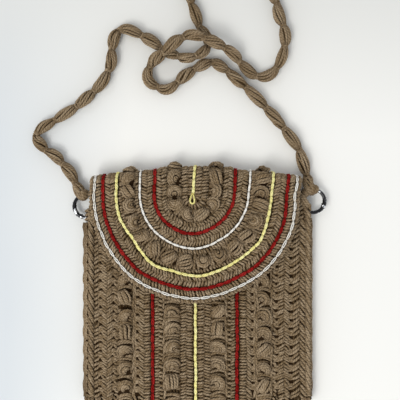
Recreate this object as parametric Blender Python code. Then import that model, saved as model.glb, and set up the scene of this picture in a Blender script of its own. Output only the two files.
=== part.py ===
"""Crochet shoulder bag, lying on its back with the flap closed and its strap loose beyond the fold.

Lengths are in millimetres until they reach a mesh. X runs across the bag, Y from the bottom edge to the fold,
and Z up from the surface it lies on. The origin is under the middle of the bag.
"""
import math

import bmesh
import bpy
from mathutils import Vector

MM = 0.001

# The cloth: two panels, the space between them and the flap that lies on the bobbles
CLOTH = 4.0
GAP = 0.3
STITCH = 7.8
POCKET = 4.6
POCKET_CROWN = 1.4
BOBBLE_HEIGHT = 4.0
BOBBLE_RADIUS = 6.8
BOBBLE_PITCH = 2.0 * STITCH
FRONT_UNDER = CLOTH + POCKET
FRONT_TOP = FRONT_UNDER + POCKET_CROWN + CLOTH
FLAP_UNDER = FRONT_TOP + BOBBLE_HEIGHT + GAP

# The outline of the body
HALF_WIDTH = {"left": 102.8, "right": 100.0}
PANEL_HALF = 93.0
BOTTOM = -107.2
PANEL_BOTTOM = -100.6
FRONT_MOUTH = 81.0
FOLD_OUTER = 100.6
FOLD_RADIUS = (FLAP_UNDER + CLOTH) / 2.0
FOLD_INNER = FOLD_RADIUS - CLOTH
FOLD_START = FOLD_OUTER - FOLD_RADIUS
EDGE_TOP = {"left": 54.0, "right": 58.0}
SLOPE_START = 75.0

# Half widths of both panels at the ring corners: height on the bag, left half, right half
CORNERS = (
    # y, left, right
    (PANEL_BOTTOM, PANEL_HALF, PANEL_HALF),
    (EDGE_TOP["left"], PANEL_HALF, PANEL_HALF),
    (EDGE_TOP["left"] + GAP, 101.0, PANEL_HALF),
    (EDGE_TOP["right"], 101.0, PANEL_HALF),
    (EDGE_TOP["right"] + GAP, 101.0, 98.0),
    (65.2, 101.0, 98.0),
    (69.6, 94.5, 98.0),
    (74.7, 90.5, 93.9),
    (79.0, 88.0, 90.5),
    (FOLD_START - GAP, 82.0, 84.0),
)

# Upright columns of the front: place across, height over the plain cloth
FRONT_RIBS = (
    # x, rise
    (-93.0, -0.6),
    (-87.1, -0.8),
    (-81.8, 1.2),
    (-75.2, -0.8),
    (-54.1, -0.8),
    (-44.9, 0.9),
    (-41.1, -0.4),
    (-36.0, 0.9),
    (-11.4, 0.9),
    (-4.0, -0.4),
    (2.6, 0.9),
    (28.6, 0.9),
    (33.0, -0.4),
    (39.2, 1.0),
    (47.1, -0.8),
    (68.2, -0.8),
    (74.4, 1.2),
    (80.5, -0.8),
    (84.9, 0.9),
    (93.0, -0.6),
)
# Bobble columns of the front: place across, first bobble above the bottom edge of the panel
FRONT_BOBBLES = (
    # x, start
    (-66.0, 10.6),
    (-24.2, 14.5),
    (16.3, 14.5),
    (57.6, 10.6),
)

# The flap's horseshoe: the middle of its round, and the rise of each row
FLAP_X = -3.9
FLAP_Y = 77.1
FLAP_RIM = 91.6
FLAP_RIBS = (
    # radius, rise
    (0.0, -0.4),
    (5.0, 0.6),
    (11.4, 0.0),
    (25.0, 0.0),
    (30.5, 0.9),
    (35.2, -0.5),
    (41.5, 1.0),
    (47.7, -0.5),
    (51.4, 0.0),
    (65.0, 0.0),
    (67.2, -0.5),
    (73.6, 1.0),
    (80.0, -0.5),
    (84.0, 0.9),
    (87.7, -0.4),
    (FLAP_RIM, -1.2),
)
FLAP_BANDS = (
    # radius, bobbles on the round
    (18.2, 4),
    (58.2, 12),
)
# How far the flap reaches by direction, against its plain round: it is a little uneven
FLAP_REACH = (
    # degrees, stretch
    (180.0, 1.0),
    (212.0, 0.998),
    (234.0, 1.016),
    (248.0, 1.004),
    (268.0, 1.017),
    (296.0, 0.993),
    (312.0, 1.006),
    (346.0, 1.004),
    (352.0, 0.995),
    (360.0, 0.990),
)
# The fold's top is crowned: how much further out it lies by distance from the flap's middle
FOLD_CROWN = (
    # distance, further out
    (0.0, 2.6),
    (25.0, 2.6),
    (40.0, -0.8),
    (58.0, -1.2),
    (75.0, -4.4),
    (FLAP_RIM, -5.8),
)
# The flap's legs lean to the right above its round, and spread, by their height over it
FLAP_LEAN = 0.10
FLAP_SPREAD = 0.0005
ROUND_STEPS = 48
LEG_STEPS = 3
FOLD_STEPS = 12
FOLD_NARROWING = 0.09

# Rings, their yarn loops and the strap's ends
RING_X = 101.2
RING_Y = {"left": 68.3, "right": 72.8}
RING_RADIUS = 10.25
RING_WIRE = 1.75
RING_Z = CLOTH + POCKET / 2.0
TAB_RADIUS = 3.25
TAB_YARN = 1.2
TAB_DEGREES = {"left": 41.0, "right": 139.0}
SLEEVE_DEGREES = {"left": 105.0, "right": 100.0}
SLEEVE_HALF_ARC = 28.0
STRAP_DEGREES = {"left": 117.0, "right": 105.0}
SLEEVE_RADIUS = 5.8
SLEEVE_SIDES = 8
SLEEVE_HOLE = (RING_WIRE + GAP) / math.cos(math.pi / SLEEVE_SIDES)

# The strap: puffs and necks along one loose cord
PUFF_RADIUS = 5.4
NECK_RADIUS = 3.5
PUFF_LENGTH = 22.5
REST = PUFF_RADIUS + 0.1
OVER = REST + 2.0 * PUFF_RADIUS + 1.2
STRAP_ROUTE = (
    # x, y, z
    (-115.0, 98.6, REST),
    (-127.0, 110.0, REST),
    (-140.0, 121.0, REST),
    (-145.6, 129.6, REST),
    (-141.2, 138.4, REST),
    (-123.0, 147.8, REST),
    (-102.0, 163.6, REST),
    (-83.6, 183.4, REST),
    (-78.4, 207.0, REST),
    (-75.4, 220.4, REST),
    (-66.0, 226.6, REST),
    (-28.6, 205.6, REST),
    (-17.0, 200.7, 10.0),
    (-6.0, 199.2, 15.8),
    (3.5, 204.0, 12.9),
    (7.4, 212.0, 6.5),
    (3.6, 221.6, REST),
    (-4.0, 237.0, REST),
    (-17.0, 320.0, REST),
    (5.0, 386.0, REST),
    (45.0, 383.0, REST),
    (67.8, 254.0, REST),
    (76.2, 220.0, REST),
    (72.6, 198.0, REST),
    (61.0, 184.8, REST),
    (48.6, 185.0, REST),
    (37.6, 194.8, 6.4),
    (25.0, 206.0, 12.2),
    (12.0, 212.6, OVER),
    (-10.0, 217.6, OVER),
    (-29.0, 204.6, OVER),
    (-43.2, 194.4, 7.4),
    (-44.6, 180.8, REST),
    (-29.5, 172.4, REST),
    (-9.6, 187.4, REST),
    (11.0, 196.6, REST),
    (29.5, 185.2, REST),
    (67.8, 146.6, REST),
    (89.8, 116.6, REST),
)


def yarn_material():
    """Matt taupe yarn."""
    finish = bpy.data.materials.new("taupe_yarn")
    finish.use_nodes = True
    shader = finish.node_tree.nodes["Principled BSDF"]
    shader.inputs["Base Color"].default_value = (0.205, 0.139, 0.088, 1.0)
    shader.inputs["Roughness"].default_value = 0.95
    shader.inputs["Metallic"].default_value = 0.0
    return finish


def ring_material():
    """Polished black plated metal."""
    finish = bpy.data.materials.new("black_metal")
    finish.use_nodes = True
    shader = finish.node_tree.nodes["Principled BSDF"]
    shader.inputs["Base Color"].default_value = (0.02, 0.021, 0.024, 1.0)
    shader.inputs["Roughness"].default_value = 0.18
    shader.inputs["Metallic"].default_value = 1.0
    return finish


def add_object(name, data, finish):
    """Put mesh or curve data in the scene as one named sub-part."""
    data.materials.append(finish)
    piece = bpy.data.objects.new(name, data)
    bpy.context.scene.collection.objects.link(piece)
    return piece


def add_shape(name, shape, finish, smooth=True):
    """Turn a shape in millimetres into one named sub-part in metres, with its faces outward."""
    bmesh.ops.recalc_face_normals(shape, faces=shape.faces[:])
    bmesh.ops.scale(shape, vec=(MM, MM, MM), verts=shape.verts[:])
    data = bpy.data.meshes.new(name)
    shape.to_mesh(data)
    shape.free()
    if smooth:
        data.shade_smooth()
        data.set_sharp_from_angle(angle=math.radians(50.0))
    return add_object(name, data, finish)


def between(table, key, column=1):
    """Read a column of a table at a place between its rows."""
    if key <= table[0][0]:
        return table[0][column]
    for low, high in zip(table, table[1:]):
        if key <= high[0]:
            share = (key - low[0]) / (high[0] - low[0])
            return low[column] + share * (high[column] - low[column])
    return table[-1][column]


def dome(x, y, bobbles, radius):
    """Height of the bobbles over one point of the cloth."""
    height = 0.0
    for bobble_x, bobble_y in bobbles:
        reach = math.hypot(x - bobble_x, y - bobble_y) / radius
        if reach < 1.0:
            height = max(height, BOBBLE_HEIGHT * math.sqrt(1.0 - reach * reach))
    return height


def sheet(name, columns, rows, lay_out, rise, form, finish):
    """Crocheted cloth: a flat grid is thickened, its top raised in relief, and the whole brought to its lie."""
    shape = bmesh.new()
    column_count = len(columns) - 1
    row_count = len(rows) - 1
    bmesh.ops.create_grid(shape, x_segments=column_count, y_segments=row_count, size=1.0)
    for vert in shape.verts:
        column = columns[round((vert.co.x + 1.0) / 2.0 * column_count)]
        row = rows[round((vert.co.y + 1.0) / 2.0 * row_count)]
        vert.co = Vector((*lay_out(column, row), 0.0))
    bmesh.ops.remove_doubles(shape, verts=shape.verts[:], dist=0.01)
    under = set(shape.verts)
    bmesh.ops.extrude_face_region(shape, geom=shape.faces[:])
    for vert in shape.verts:
        x, y = vert.co.x, vert.co.y
        height = 0.0 if vert in under else CLOTH + rise(x, y)
        vert.co = form(x, y, height)
    flat_edges = [edge for edge in shape.edges if under.issuperset(edge.verts)]
    bmesh.ops.dissolve_limit(
        shape,
        angle_limit=math.radians(0.4),
        use_dissolve_boundaries=False,
        verts=list(under),
        edges=flat_edges,
    )
    return add_shape(name, shape, finish)


def panel_place(x, y):
    """A point of a panel, drawn in where the ring corners are cut away."""
    side = 1 if x < 0.0 else 2
    half = between(CORNERS, y, side)
    if abs(x) > SLOPE_START:
        share = (abs(x) - SLOPE_START) / (PANEL_HALF - SLOPE_START)
        x = math.copysign(SLOPE_START + share * (half - SLOPE_START), x)
    return x, y


def front_under(x):
    """Height of the front panel's underside, which crowns a little over the pocket."""
    flat_half = 40.0
    share = (SLOPE_START - abs(x)) / (SLOPE_START - flat_half)
    return FRONT_UNDER + POCKET_CROWN * min(max(share, 0.0), 1.0)


def make_back_panel(finish):
    """The plain back, flat on the surface from the bottom edge to the fold."""
    columns = [-PANEL_HALF, -SLOPE_START, SLOPE_START, PANEL_HALF]
    rows = [row[0] for row in CORNERS]
    return sheet(
        "back_panel",
        columns,
        rows,
        panel_place,
        lambda x, y: 0.0,
        lambda x, y, height: Vector((x, y, height)),
        finish,
    )


def make_front_panel(finish):
    """The front, with its upright ribs and four columns of bobbles."""
    bobbles = []
    for x, start in FRONT_BOBBLES:
        count = int((FRONT_MOUTH - PANEL_BOTTOM - start) / BOBBLE_PITCH) + 1
        bobbles += [(x, PANEL_BOTTOM + start + BOBBLE_PITCH * step) for step in range(count)]
    columns = {x for x, rise in FRONT_RIBS} | {-SLOPE_START, -40.0, 40.0, SLOPE_START}
    for x, start in FRONT_BOBBLES:
        columns |= {x + share * BOBBLE_RADIUS for share in (-1.0, -0.55, 0.0, 0.55, 1.0)}
    half_stitch = STITCH / 2.0
    rows = {row[0] for row in CORNERS if row[0] < FRONT_MOUTH} | {FRONT_MOUTH}
    row = PANEL_BOTTOM + FRONT_BOBBLES[0][1] - half_stitch
    while row < FRONT_MOUTH - 1.0:
        if min(abs(row - other) for other in rows) > 1.2:
            rows.add(row)
        row += half_stitch
    return sheet(
        "front_panel",
        sorted(columns),
        sorted(rows),
        panel_place,
        lambda x, y: max(between(FRONT_RIBS, x), dome(x, y, bobbles, BOBBLE_RADIUS)),
        lambda x, y, height: Vector((x, y, front_under(x) + height)),
        finish,
    )


def flap_bobbles():
    """Places of the flap's bobbles on the cloth as it is before it is folded."""
    leg = FOLD_START - FLAP_Y
    rises = (leg / LEG_STEPS, leg + FOLD_RADIUS * math.radians(15.0), leg + FOLD_RADIUS * math.radians(90.0))
    places = []
    for radius, count in FLAP_BANDS:
        rows = [("round", 180.0 + 180.0 * (step + 0.5) / count) for step in range(count)]
        rows += [(side, rise) for side in ("left", "right") for rise in rises]
        places += [flap_place(radius, row) for row in rows]
    return places


def flap_rows():
    """Steps along the horseshoe: the left leg from the back seam, the round, and the right leg back again."""
    leg = FOLD_START - FLAP_Y
    rises = [leg * step / LEG_STEPS for step in range(1, LEG_STEPS)]
    rises += [leg + FOLD_RADIUS * math.pi * step / FOLD_STEPS for step in range(FOLD_STEPS + 1)]
    left = [("left", rise) for rise in reversed(rises)]
    turns = [("round", 180.0 + 180.0 * step / ROUND_STEPS) for step in range(ROUND_STEPS + 1)]
    right = [("right", rise) for rise in rises]
    return left + turns + right


def flap_place(radius, row):
    """A point of the flap as it is before it is folded."""
    kind, amount = row
    degrees = {"left": 180.0, "round": amount, "right": 360.0}[kind]
    rise = 0.0 if kind == "round" else amount
    turn = math.radians(degrees)
    reach = radius * (1.0 + (between(FLAP_REACH, degrees) - 1.0) * radius / FLAP_RIM)
    return FLAP_X + reach * math.cos(turn), FLAP_Y + reach * math.sin(turn) + rise


def flap_rise(bobbles):
    """Relief of the flap, fading out where it turns under the bag."""
    def rise(x, y):
        aside = x - FLAP_X
        down = min(y - FLAP_Y, 0.0)
        turn = math.degrees(math.atan2(down, aside)) % 360.0
        radius = math.hypot(aside, down)
        radius /= 1.0 + (between(FLAP_REACH, turn or 360.0) - 1.0) * radius / FLAP_RIM
        turned = max(y - FOLD_START, 0.0) / FOLD_RADIUS
        fade = min(max((math.radians(150.0) - turned) / math.radians(45.0), 0.0), 1.0)
        return fade * max(between(FLAP_RIBS, radius), dome(x, y, bobbles, BOBBLE_RADIUS))
    return rise


def flap_form(x, y, height):
    """Bring a point of the flat flap to its lie: on the front's bobbles, and past the fold's start round it."""
    aside = x - FLAP_X
    turned = max(y - FOLD_START, 0.0) / FOLD_RADIUS
    radius = FOLD_INNER + height
    reach = radius + between(FOLD_CROWN, abs(aside))
    under = max(2.0 * turned / math.pi - 1.0, 0.0)
    place = Vector((
        FLAP_X + aside * (1.0 - FOLD_NARROWING * under),
        min(y, FOLD_START) + reach * math.sin(turned),
        FOLD_RADIUS + radius * math.cos(turned),
    ))
    place.x += (FLAP_LEAN + FLAP_SPREAD * aside) * max(place.y - FLAP_Y, 0.0)
    return place


def make_flap(finish):
    """The horseshoe flap, folded over the top of the bag from the back panel's edge."""
    radii = {radius for radius, rise in FLAP_RIBS}
    for radius, count in FLAP_BANDS:
        radii |= {radius + share * BOBBLE_RADIUS for share in (-0.55, 0.0, 0.55)}
    return sheet("flap", sorted(radii), flap_rows(), flap_place, flap_rise(flap_bobbles()), flap_form, finish)


def skin(name, around, along, place, finish, wraps=False):
    """A closed skin over a grid of points that goes round once, or twice over where its length wraps too."""
    shape = bmesh.new()
    bmesh.ops.create_grid(shape, x_segments=around, y_segments=along, size=1.0)
    for vert in shape.verts:
        turn = round((vert.co.x + 1.0) / 2.0 * around) % around
        step = round((vert.co.y + 1.0) / 2.0 * along)
        vert.co = place(turn, step % along if wraps else step)
    bmesh.ops.remove_doubles(shape, verts=shape.verts[:], dist=0.001)
    ends = [edge for edge in shape.edges if edge.is_boundary]
    if ends:
        bmesh.ops.holes_fill(shape, edges=ends, sides=0)
    return add_shape(name, shape, finish)


def edge_section(depth, inset):
    """Section of the joining edge: distance in from its outer side and height, drawn in between two stitches."""
    top = FRONT_UNDER + CLOTH
    return (
        (depth, 0.0),
        (1.6, 0.0),
        (0.1 + inset, 3.4),
        (inset, 8.8),
        (1.4 + inset, top - 0.4 * inset),
        (3.8, top + 1.0 - 0.9 * inset),
        (depth, top - 1.2),
    )


def make_edge(name, start, end, depth, place, finish):
    """One run of the joining edge, with a bump for each stitch."""
    steps = 2 * round((end - start) / STITCH)
    bump = 1.3

    def point(turn, step):
        inward, height = edge_section(depth, 0.0 if step % 2 else bump)[turn]
        return place(start + (end - start) * step / steps, inward, height)

    return skin(name, len(edge_section(depth, 0.0)), steps, point, finish)


def side_edge_place(side):
    """Place a point of a side edge from its distance along, in and up."""
    def place(along, inward, height):
        across = HALF_WIDTH[side] - inward
        return Vector((-across if side == "left" else across, along, height))
    return place


def bottom_edge_place(along, inward, height):
    """Place a point of the bottom edge, whose two ends round off the bag's corners."""
    corner = 6.0
    half = HALF_WIDTH["left" if along < 0.0 else "right"]
    past = min(max(abs(along) - (half - corner), 0.0), corner)
    rounding = corner - math.sqrt(corner * corner - past * past)
    depth = PANEL_BOTTOM - GAP - BOTTOM
    return Vector((along, BOTTOM + min(inward + rounding * (1.0 - inward / depth), depth), height))


def make_ring(side, finish):
    """One round gate ring, lying between the two panels at its corner."""
    sign = -1.0 if side == "left" else 1.0
    bpy.ops.mesh.primitive_torus_add(
        location=(sign * RING_X * MM, RING_Y[side] * MM, RING_Z * MM),
        major_segments=28,
        minor_segments=8,
        major_radius=RING_RADIUS * MM,
        minor_radius=RING_WIRE * MM,
    )
    ring = bpy.context.object
    ring.name = "ring_" + side
    ring.data.materials.append(finish)
    ring.data.shade_smooth()
    return ring


def ring_point(side, degrees, reach, height=0.0):
    """A point seen from the middle of a ring."""
    sign = -1.0 if side == "left" else 1.0
    turn = math.radians(degrees)
    return Vector((
        sign * RING_X + reach * math.cos(turn),
        RING_Y[side] + reach * math.sin(turn),
        RING_Z + height,
    ))


def make_tab(side, finish):
    """The small yarn loop round a ring's wire at the bag's corner."""
    bpy.ops.mesh.primitive_torus_add(
        location=ring_point(side, TAB_DEGREES[side], RING_RADIUS) * MM,
        rotation=(math.pi / 2.0, 0.0, math.radians(TAB_DEGREES[side])),
        major_segments=12,
        minor_segments=6,
        major_radius=TAB_RADIUS * MM,
        minor_radius=TAB_YARN * MM,
    )
    tab = bpy.context.object
    tab.name = "ring_tab_" + side
    tab.data.materials.append(finish)
    tab.data.shade_smooth()
    return tab


def make_strap_end(side, finish):
    """The strap's end closed round a ring: a puffed sleeve along the wire."""
    shares = (-1.0, -0.7, -0.3, 0.3, 0.7, 1.0)
    radii = (3.2, 5.0, SLEEVE_RADIUS, SLEEVE_RADIUS, 5.0, 3.2)
    profile = list(zip(shares, radii))
    profile += [(share, SLEEVE_HOLE) for share in (1.0, 0.5, 0.0, -0.5, -1.0)]

    def point(turn, step):
        share, radius = profile[step]
        angle = 2.0 * math.pi * (turn + 0.5) / SLEEVE_SIDES
        degrees = SLEEVE_DEGREES[side] + share * SLEEVE_HALF_ARC
        return ring_point(side, degrees, RING_RADIUS + radius * math.cos(angle), radius * math.sin(angle))

    return skin("strap_end_" + side, SLEEVE_SIDES, len(profile), point, finish, wraps=True)


def smooth_route(points, parts=16):
    """A smooth curve through a route's points (centripetal Catmull-Rom), as closely spaced points."""
    points = [Vector(point) for point in points]
    points = [2.0 * points[0] - points[1]] + points + [2.0 * points[-1] - points[-2]]
    curve = []
    for first, start, end, last in zip(points, points[1:], points[2:], points[3:]):
        knots = [0.0]
        for near, far in ((first, start), (start, end), (end, last)):
            knots.append(knots[-1] + math.sqrt((far - near).length))
        for part in range(parts):
            at = knots[1] + (knots[2] - knots[1]) * part / parts
            one = first.lerp(start, (at - knots[0]) / (knots[1] - knots[0]))
            two = start.lerp(end, (at - knots[1]) / (knots[2] - knots[1]))
            three = end.lerp(last, (at - knots[2]) / (knots[3] - knots[2]))
            four = one.lerp(two, (at - knots[0]) / (knots[2] - knots[0]))
            five = two.lerp(three, (at - knots[1]) / (knots[3] - knots[1]))
            curve.append(four.lerp(five, (at - knots[1]) / (knots[2] - knots[1])))
    curve.append(points[-2])
    return curve


def strap_route():
    """The strap's whole route, from the sleeve on the left ring to the sleeve on the right ring."""
    reach = RING_RADIUS + SLEEVE_RADIUS + GAP
    start = ring_point("left", STRAP_DEGREES["left"], reach)
    end = ring_point("right", STRAP_DEGREES["right"], reach)
    route = smooth_route([start, *STRAP_ROUTE, end])
    for place in route:
        place.z = max(place.z, REST)
    return route


def along_route(route, distances):
    """Points at given distances along a route."""
    travelled = 0.0
    found = []
    wanted = list(distances)
    for near, far in zip(route, route[1:]):
        length = (far - near).length
        while wanted and travelled + length >= wanted[0] - 1e-6:
            found.append(near.lerp(far, (wanted.pop(0) - travelled) / length))
        travelled += length
    return found


def make_strap(finish):
    """The puff-stitch cord: a puff and a neck repeated along the route, as a bevelled curve of changing radius."""
    route = strap_route()
    length = sum((far - near).length for near, far in zip(route, route[1:]))
    puffs = round(length / PUFF_LENGTH)
    pitch = length / puffs
    section = ((0.0, NECK_RADIUS), (0.3, PUFF_RADIUS), (0.7, PUFF_RADIUS))
    stations = [(pitch * (puff + share), radius) for puff in range(puffs) for share, radius in section]
    stations.append((length, NECK_RADIUS))
    data = bpy.data.curves.new("strap", "CURVE")
    data.dimensions = "3D"
    data.bevel_depth = MM
    data.bevel_resolution = 2
    data.render_resolution_u = 0
    data.use_fill_caps = True
    spline = data.splines.new("POLY")
    spline.points.add(len(stations) - 1)
    places = along_route(route, [distance for distance, radius in stations])
    for point, place, (distance, radius) in zip(spline.points, places, stations):
        point.co = (*(place * MM), 1.0)
        point.radius = radius
    print("strap length in mm:", round(length, 1), "puffs:", puffs)
    return add_object("strap", data, finish)


def main():
    """Build the bag from its back to its strap."""
    for piece in list(bpy.data.objects):
        bpy.data.objects.remove(piece)
    yarn = yarn_material()
    metal = ring_material()
    make_back_panel(yarn)
    make_front_panel(yarn)
    for side in ("left", "right"):
        depth = HALF_WIDTH[side] - PANEL_HALF - GAP
        make_edge("edge_" + side, PANEL_BOTTOM, EDGE_TOP[side] - GAP, depth, side_edge_place(side), yarn)
    depth = PANEL_BOTTOM - GAP - BOTTOM
    make_edge("edge_bottom", -HALF_WIDTH["left"], HALF_WIDTH["right"], depth, bottom_edge_place, yarn)
    make_flap(yarn)
    for side in ("left", "right"):
        make_ring(side, metal)
        make_tab(side, yarn)
        make_strap_end(side, yarn)
    make_strap(yarn)


main()
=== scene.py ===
# %% [markdown]
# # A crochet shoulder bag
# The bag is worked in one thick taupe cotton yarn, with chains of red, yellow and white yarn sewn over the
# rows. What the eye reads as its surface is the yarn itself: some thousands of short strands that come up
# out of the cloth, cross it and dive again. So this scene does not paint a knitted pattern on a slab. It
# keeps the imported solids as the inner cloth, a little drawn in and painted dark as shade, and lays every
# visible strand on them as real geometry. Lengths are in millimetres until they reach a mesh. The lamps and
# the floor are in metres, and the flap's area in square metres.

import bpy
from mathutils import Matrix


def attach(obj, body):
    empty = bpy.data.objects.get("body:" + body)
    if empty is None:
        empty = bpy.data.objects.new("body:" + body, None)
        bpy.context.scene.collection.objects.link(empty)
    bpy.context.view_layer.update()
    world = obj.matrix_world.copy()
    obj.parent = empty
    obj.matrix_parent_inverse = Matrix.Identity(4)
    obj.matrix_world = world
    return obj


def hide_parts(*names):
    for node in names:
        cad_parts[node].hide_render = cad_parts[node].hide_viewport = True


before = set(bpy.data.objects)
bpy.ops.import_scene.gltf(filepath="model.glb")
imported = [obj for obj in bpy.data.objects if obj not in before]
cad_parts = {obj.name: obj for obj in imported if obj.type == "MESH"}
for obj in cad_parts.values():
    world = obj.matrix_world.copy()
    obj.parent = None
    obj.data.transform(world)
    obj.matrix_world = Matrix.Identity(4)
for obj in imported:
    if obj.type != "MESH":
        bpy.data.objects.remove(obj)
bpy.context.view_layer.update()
print("solids:", ", ".join(sorted(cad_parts)))

# %% [markdown]
# ## Tools
# Hand work is never even, so most lengths get a small deviation. Python's draws and Blender's noise both
# start from one seed. Without it the noise would take its offset from the clock, and each run would give a
# slightly different bag. Many forms are read from short tables, with straight lines between their rows.

# %% Tools used all through
import bisect
import math
import random

import bmesh
import bpy
from mathutils import Vector, noise

MM = 0.001
UP = Vector((0.0, 0.0, 1.0))
SEED = 5

chance = random.Random(SEED)
noise.seed_set(SEED)


def uneven(size):
    """A small even-handed deviation, as hand work has."""
    return chance.uniform(-size, size)


def shares(steps):
    """Even shares from 0 to 1."""
    return [step / steps for step in range(steps + 1)]


def between(table, key, column=1):
    """Read a column of a table at a place between its rows."""
    if key <= table[0][0]:
        return table[0][column]
    for low, high in zip(table, table[1:]):
        if key <= high[0]:
            share = (key - low[0]) / (high[0] - low[0])
            return low[column] + share * (high[column] - low[column])
    return table[-1][column]


print("seed:", SEED)

# %% [markdown]
# ## Camera
# The bag was laid flat and seen from straight above, near enough for the bobbles to lean outward a little
# towards the frame's edge. A long lens from 62 cm gives the same leaning. The camera comes first, because
# the length of strap that it does not see is limited.

# %% Camera
EYE_PLACE = (0.44, 73.66, 620.0)
LENS = 62.0

eye_data = bpy.data.cameras.new("eye")
eye_data.lens = LENS
eye = bpy.data.objects.new("eye", eye_data)
eye.location = Vector(EYE_PLACE) * MM
bpy.context.scene.collection.objects.link(eye)
bpy.context.scene.camera = eye
print("camera height in m:", round(eye.location.z, 3))

# %% [markdown]
# ## Light and floor
# Soft daylight from the lower left, over a white surface that throws most of it back. One wide area lamp
# gives the direction, the dark sides of the yarn and the shadow above the fold, and a pale sky fills the
# rest. Two small weak lamps only draw the crisp glints on the metal rings. A lamp close by would fall off
# over the bag, so they stand well away. Tones are shown as they are, without a film curve, because the white
# surface has to come out nearly white.

# %% Light and floor
LAMPS = (
    # name, place, side, power
    ("window", Vector((-0.85, -0.80, 1.70)), 1.2, 21.5),
    ("near_gap", Vector((-0.70, -1.10, 1.60)), 0.30, 4.5),
    ("far_gap", Vector((-1.10, 0.95, 1.50)), 0.30, 2.0),
)
LAMP_AIM = Vector((0.0, 0.06, 0.0))
LAMP_TINT = (1.0, 0.98, 0.94)
FLOOR_HALF = 2.0

bpy.context.scene.view_settings.view_transform = "Standard"

for name, lamp_place, lamp_side, power in LAMPS:
    lamp_data = bpy.data.lights.new(name, "AREA")
    lamp_data.energy = power
    lamp_data.size = lamp_side
    lamp_data.color = LAMP_TINT
    lamp = bpy.data.objects.new(name, lamp_data)
    lamp.location = lamp_place
    lamp.rotation_euler = (LAMP_AIM - lamp_place).to_track_quat("-Z", "Y").to_euler()
    bpy.context.scene.collection.objects.link(lamp)

floor_shape = bmesh.new()
bmesh.ops.create_grid(floor_shape, x_segments=1, y_segments=1, size=FLOOR_HALF)
floor_mesh = bpy.data.meshes.new("floor")
floor_shape.to_mesh(floor_mesh)
floor_shape.free()
floor = bpy.data.objects.new("floor", floor_mesh)
bpy.context.scene.collection.objects.link(floor)
print("lamps:", ", ".join(lamp_row[0] for lamp_row in LAMPS))

# %% [markdown]
# ## Shader arithmetic
# A finish is easier to read as a formula than as a web of nodes. Signal wraps a socket so that + - * and
# abs() add the Math nodes, and Web.node adds every other node: its settings first, then its sockets. A
# Finish is such a web inside a material; the sky is one too, dark overhead and pale at the horizon.

# %% Signal


class Signal:
    """A shader socket that takes part in Python's arithmetic."""

    def __init__(self, web, socket):
        self.web = web
        self.socket = socket

    def work(self, operation, *values):
        return self.web.node("Math", {"operation": operation}, dict(enumerate(values)))

    def __add__(self, other):
        return self.work("ADD", self, other)

    def __radd__(self, other):
        return self.work("ADD", other, self)

    def __sub__(self, other):
        return self.work("SUBTRACT", self, other)

    def __rsub__(self, other):
        return self.work("SUBTRACT", other, self)

    def __mul__(self, other):
        return self.work("MULTIPLY", self, other)

    def __rmul__(self, other):
        return self.work("MULTIPLY", other, self)

    def __abs__(self):
        return self.work("ABSOLUTE", self)

    def __pow__(self, other):
        return self.work("POWER", self, other)

    def sine(self):
        return self.work("SINE", self)


# %% Web


class Web:
    """A tree of shader nodes and the one way in which nodes are added to it."""

    def __init__(self, tree):
        self.tree = tree

    def feed(self, socket, value):
        if isinstance(value, Signal):
            self.tree.links.new(value.socket, socket)
        else:
            socket.default_value = value

    def node(self, kind, settings=None, sockets=None, out=0):
        """Add a node; sockets are named, or numbered where their names repeat."""
        node = self.tree.nodes.new("ShaderNode" + kind)
        for key, value in (settings or {}).items():
            setattr(node, key, value)
        for key, value in (sockets or {}).items():
            self.feed(node.inputs[key], value)
        return Signal(self, node.outputs[out])

    def axis(self, kind, output, number):
        """One component of the coordinates that a node gives."""
        return self.node("SeparateXYZ", None, {0: self.node(kind, out=output)}, out=number)

    def blend(self, share, first, second):
        """Mix two colours by a share that may vary."""
        return self.node("Mix", {"data_type": "RGBA"}, {0: share, 6: first, 7: second}, out=2)

    def noise(self, scale, detail):
        """Noise on the object's own coordinates, in cells per metre."""
        place = self.node("TexCoord", out="Object")
        return self.node("TexNoise", None, {"Vector": place, "Scale": scale, "Detail": detail}, out="Fac")


# %% Finish


class Finish(Web):
    """One material."""

    def __init__(self, name):
        self.material = bpy.data.materials.new(name)
        self.material.use_nodes = True
        super().__init__(self.material.node_tree)
        self.shader = self.tree.nodes["Principled BSDF"]

    def set(self, **values):
        """Set or link the shader's own sockets: underscores stand for the spaces in their names."""
        for key, value in values.items():
            self.feed(self.shader.inputs[key.replace("_", " ")], value)

    def bump(self, strength, height):
        """A normal from heights counted in half millimetres."""
        return self.node("Bump", None, {"Strength": strength, "Distance": 0.5 * MM, "Height": height})


# %% The sky
SKY = (0.97, 0.98, 1.0, 1.0)
SKY_OVERHEAD = 0.43
SKY_HORIZON = 1.45

sky = bpy.data.worlds.new("sky")
sky.use_nodes = True
dome = Web(sky.node_tree)
background = sky.node_tree.nodes["Background"]
height = dome.axis("TexCoord", "Generated", 2)
sky_light = (1.0 - abs(height)) ** 2.0 * (SKY_HORIZON - SKY_OVERHEAD) + SKY_OVERHEAD
dome.feed(background.inputs["Color"], SKY)
dome.feed(background.inputs["Strength"], sky_light)
bpy.context.scene.world = sky
print("sky from", SKY_OVERHEAD, "overhead to", SKY_HORIZON)

# %% [markdown]
# ## Yarn
# Each strand is a tube, and its UV runs along it (u) and round it (v). Its length in turns of the twist is an
# attribute of its own, because u ends at 1 whatever the length. Two plies show as slanted grooves, lines of
# equal 2 v + turns: they make the bump, and a painted shade darkens the colour in the grooves. The ends of a
# strand lie deep between its neighbours, where less light comes, so a painted shade darkens them too; the
# darkest of a finish's three tones is this painted shade. Each strand takes the dye a little differently.
# Strands under the rows lie deeper still and take a darker copy of the yarn's finish, a painted shade.
# Cotton is matt, with a faint sheen of loose fibres at grazing angles.

# %% Yarn finishes
PLIES = 2.0
PLY_LENGTH = 2.7


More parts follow.
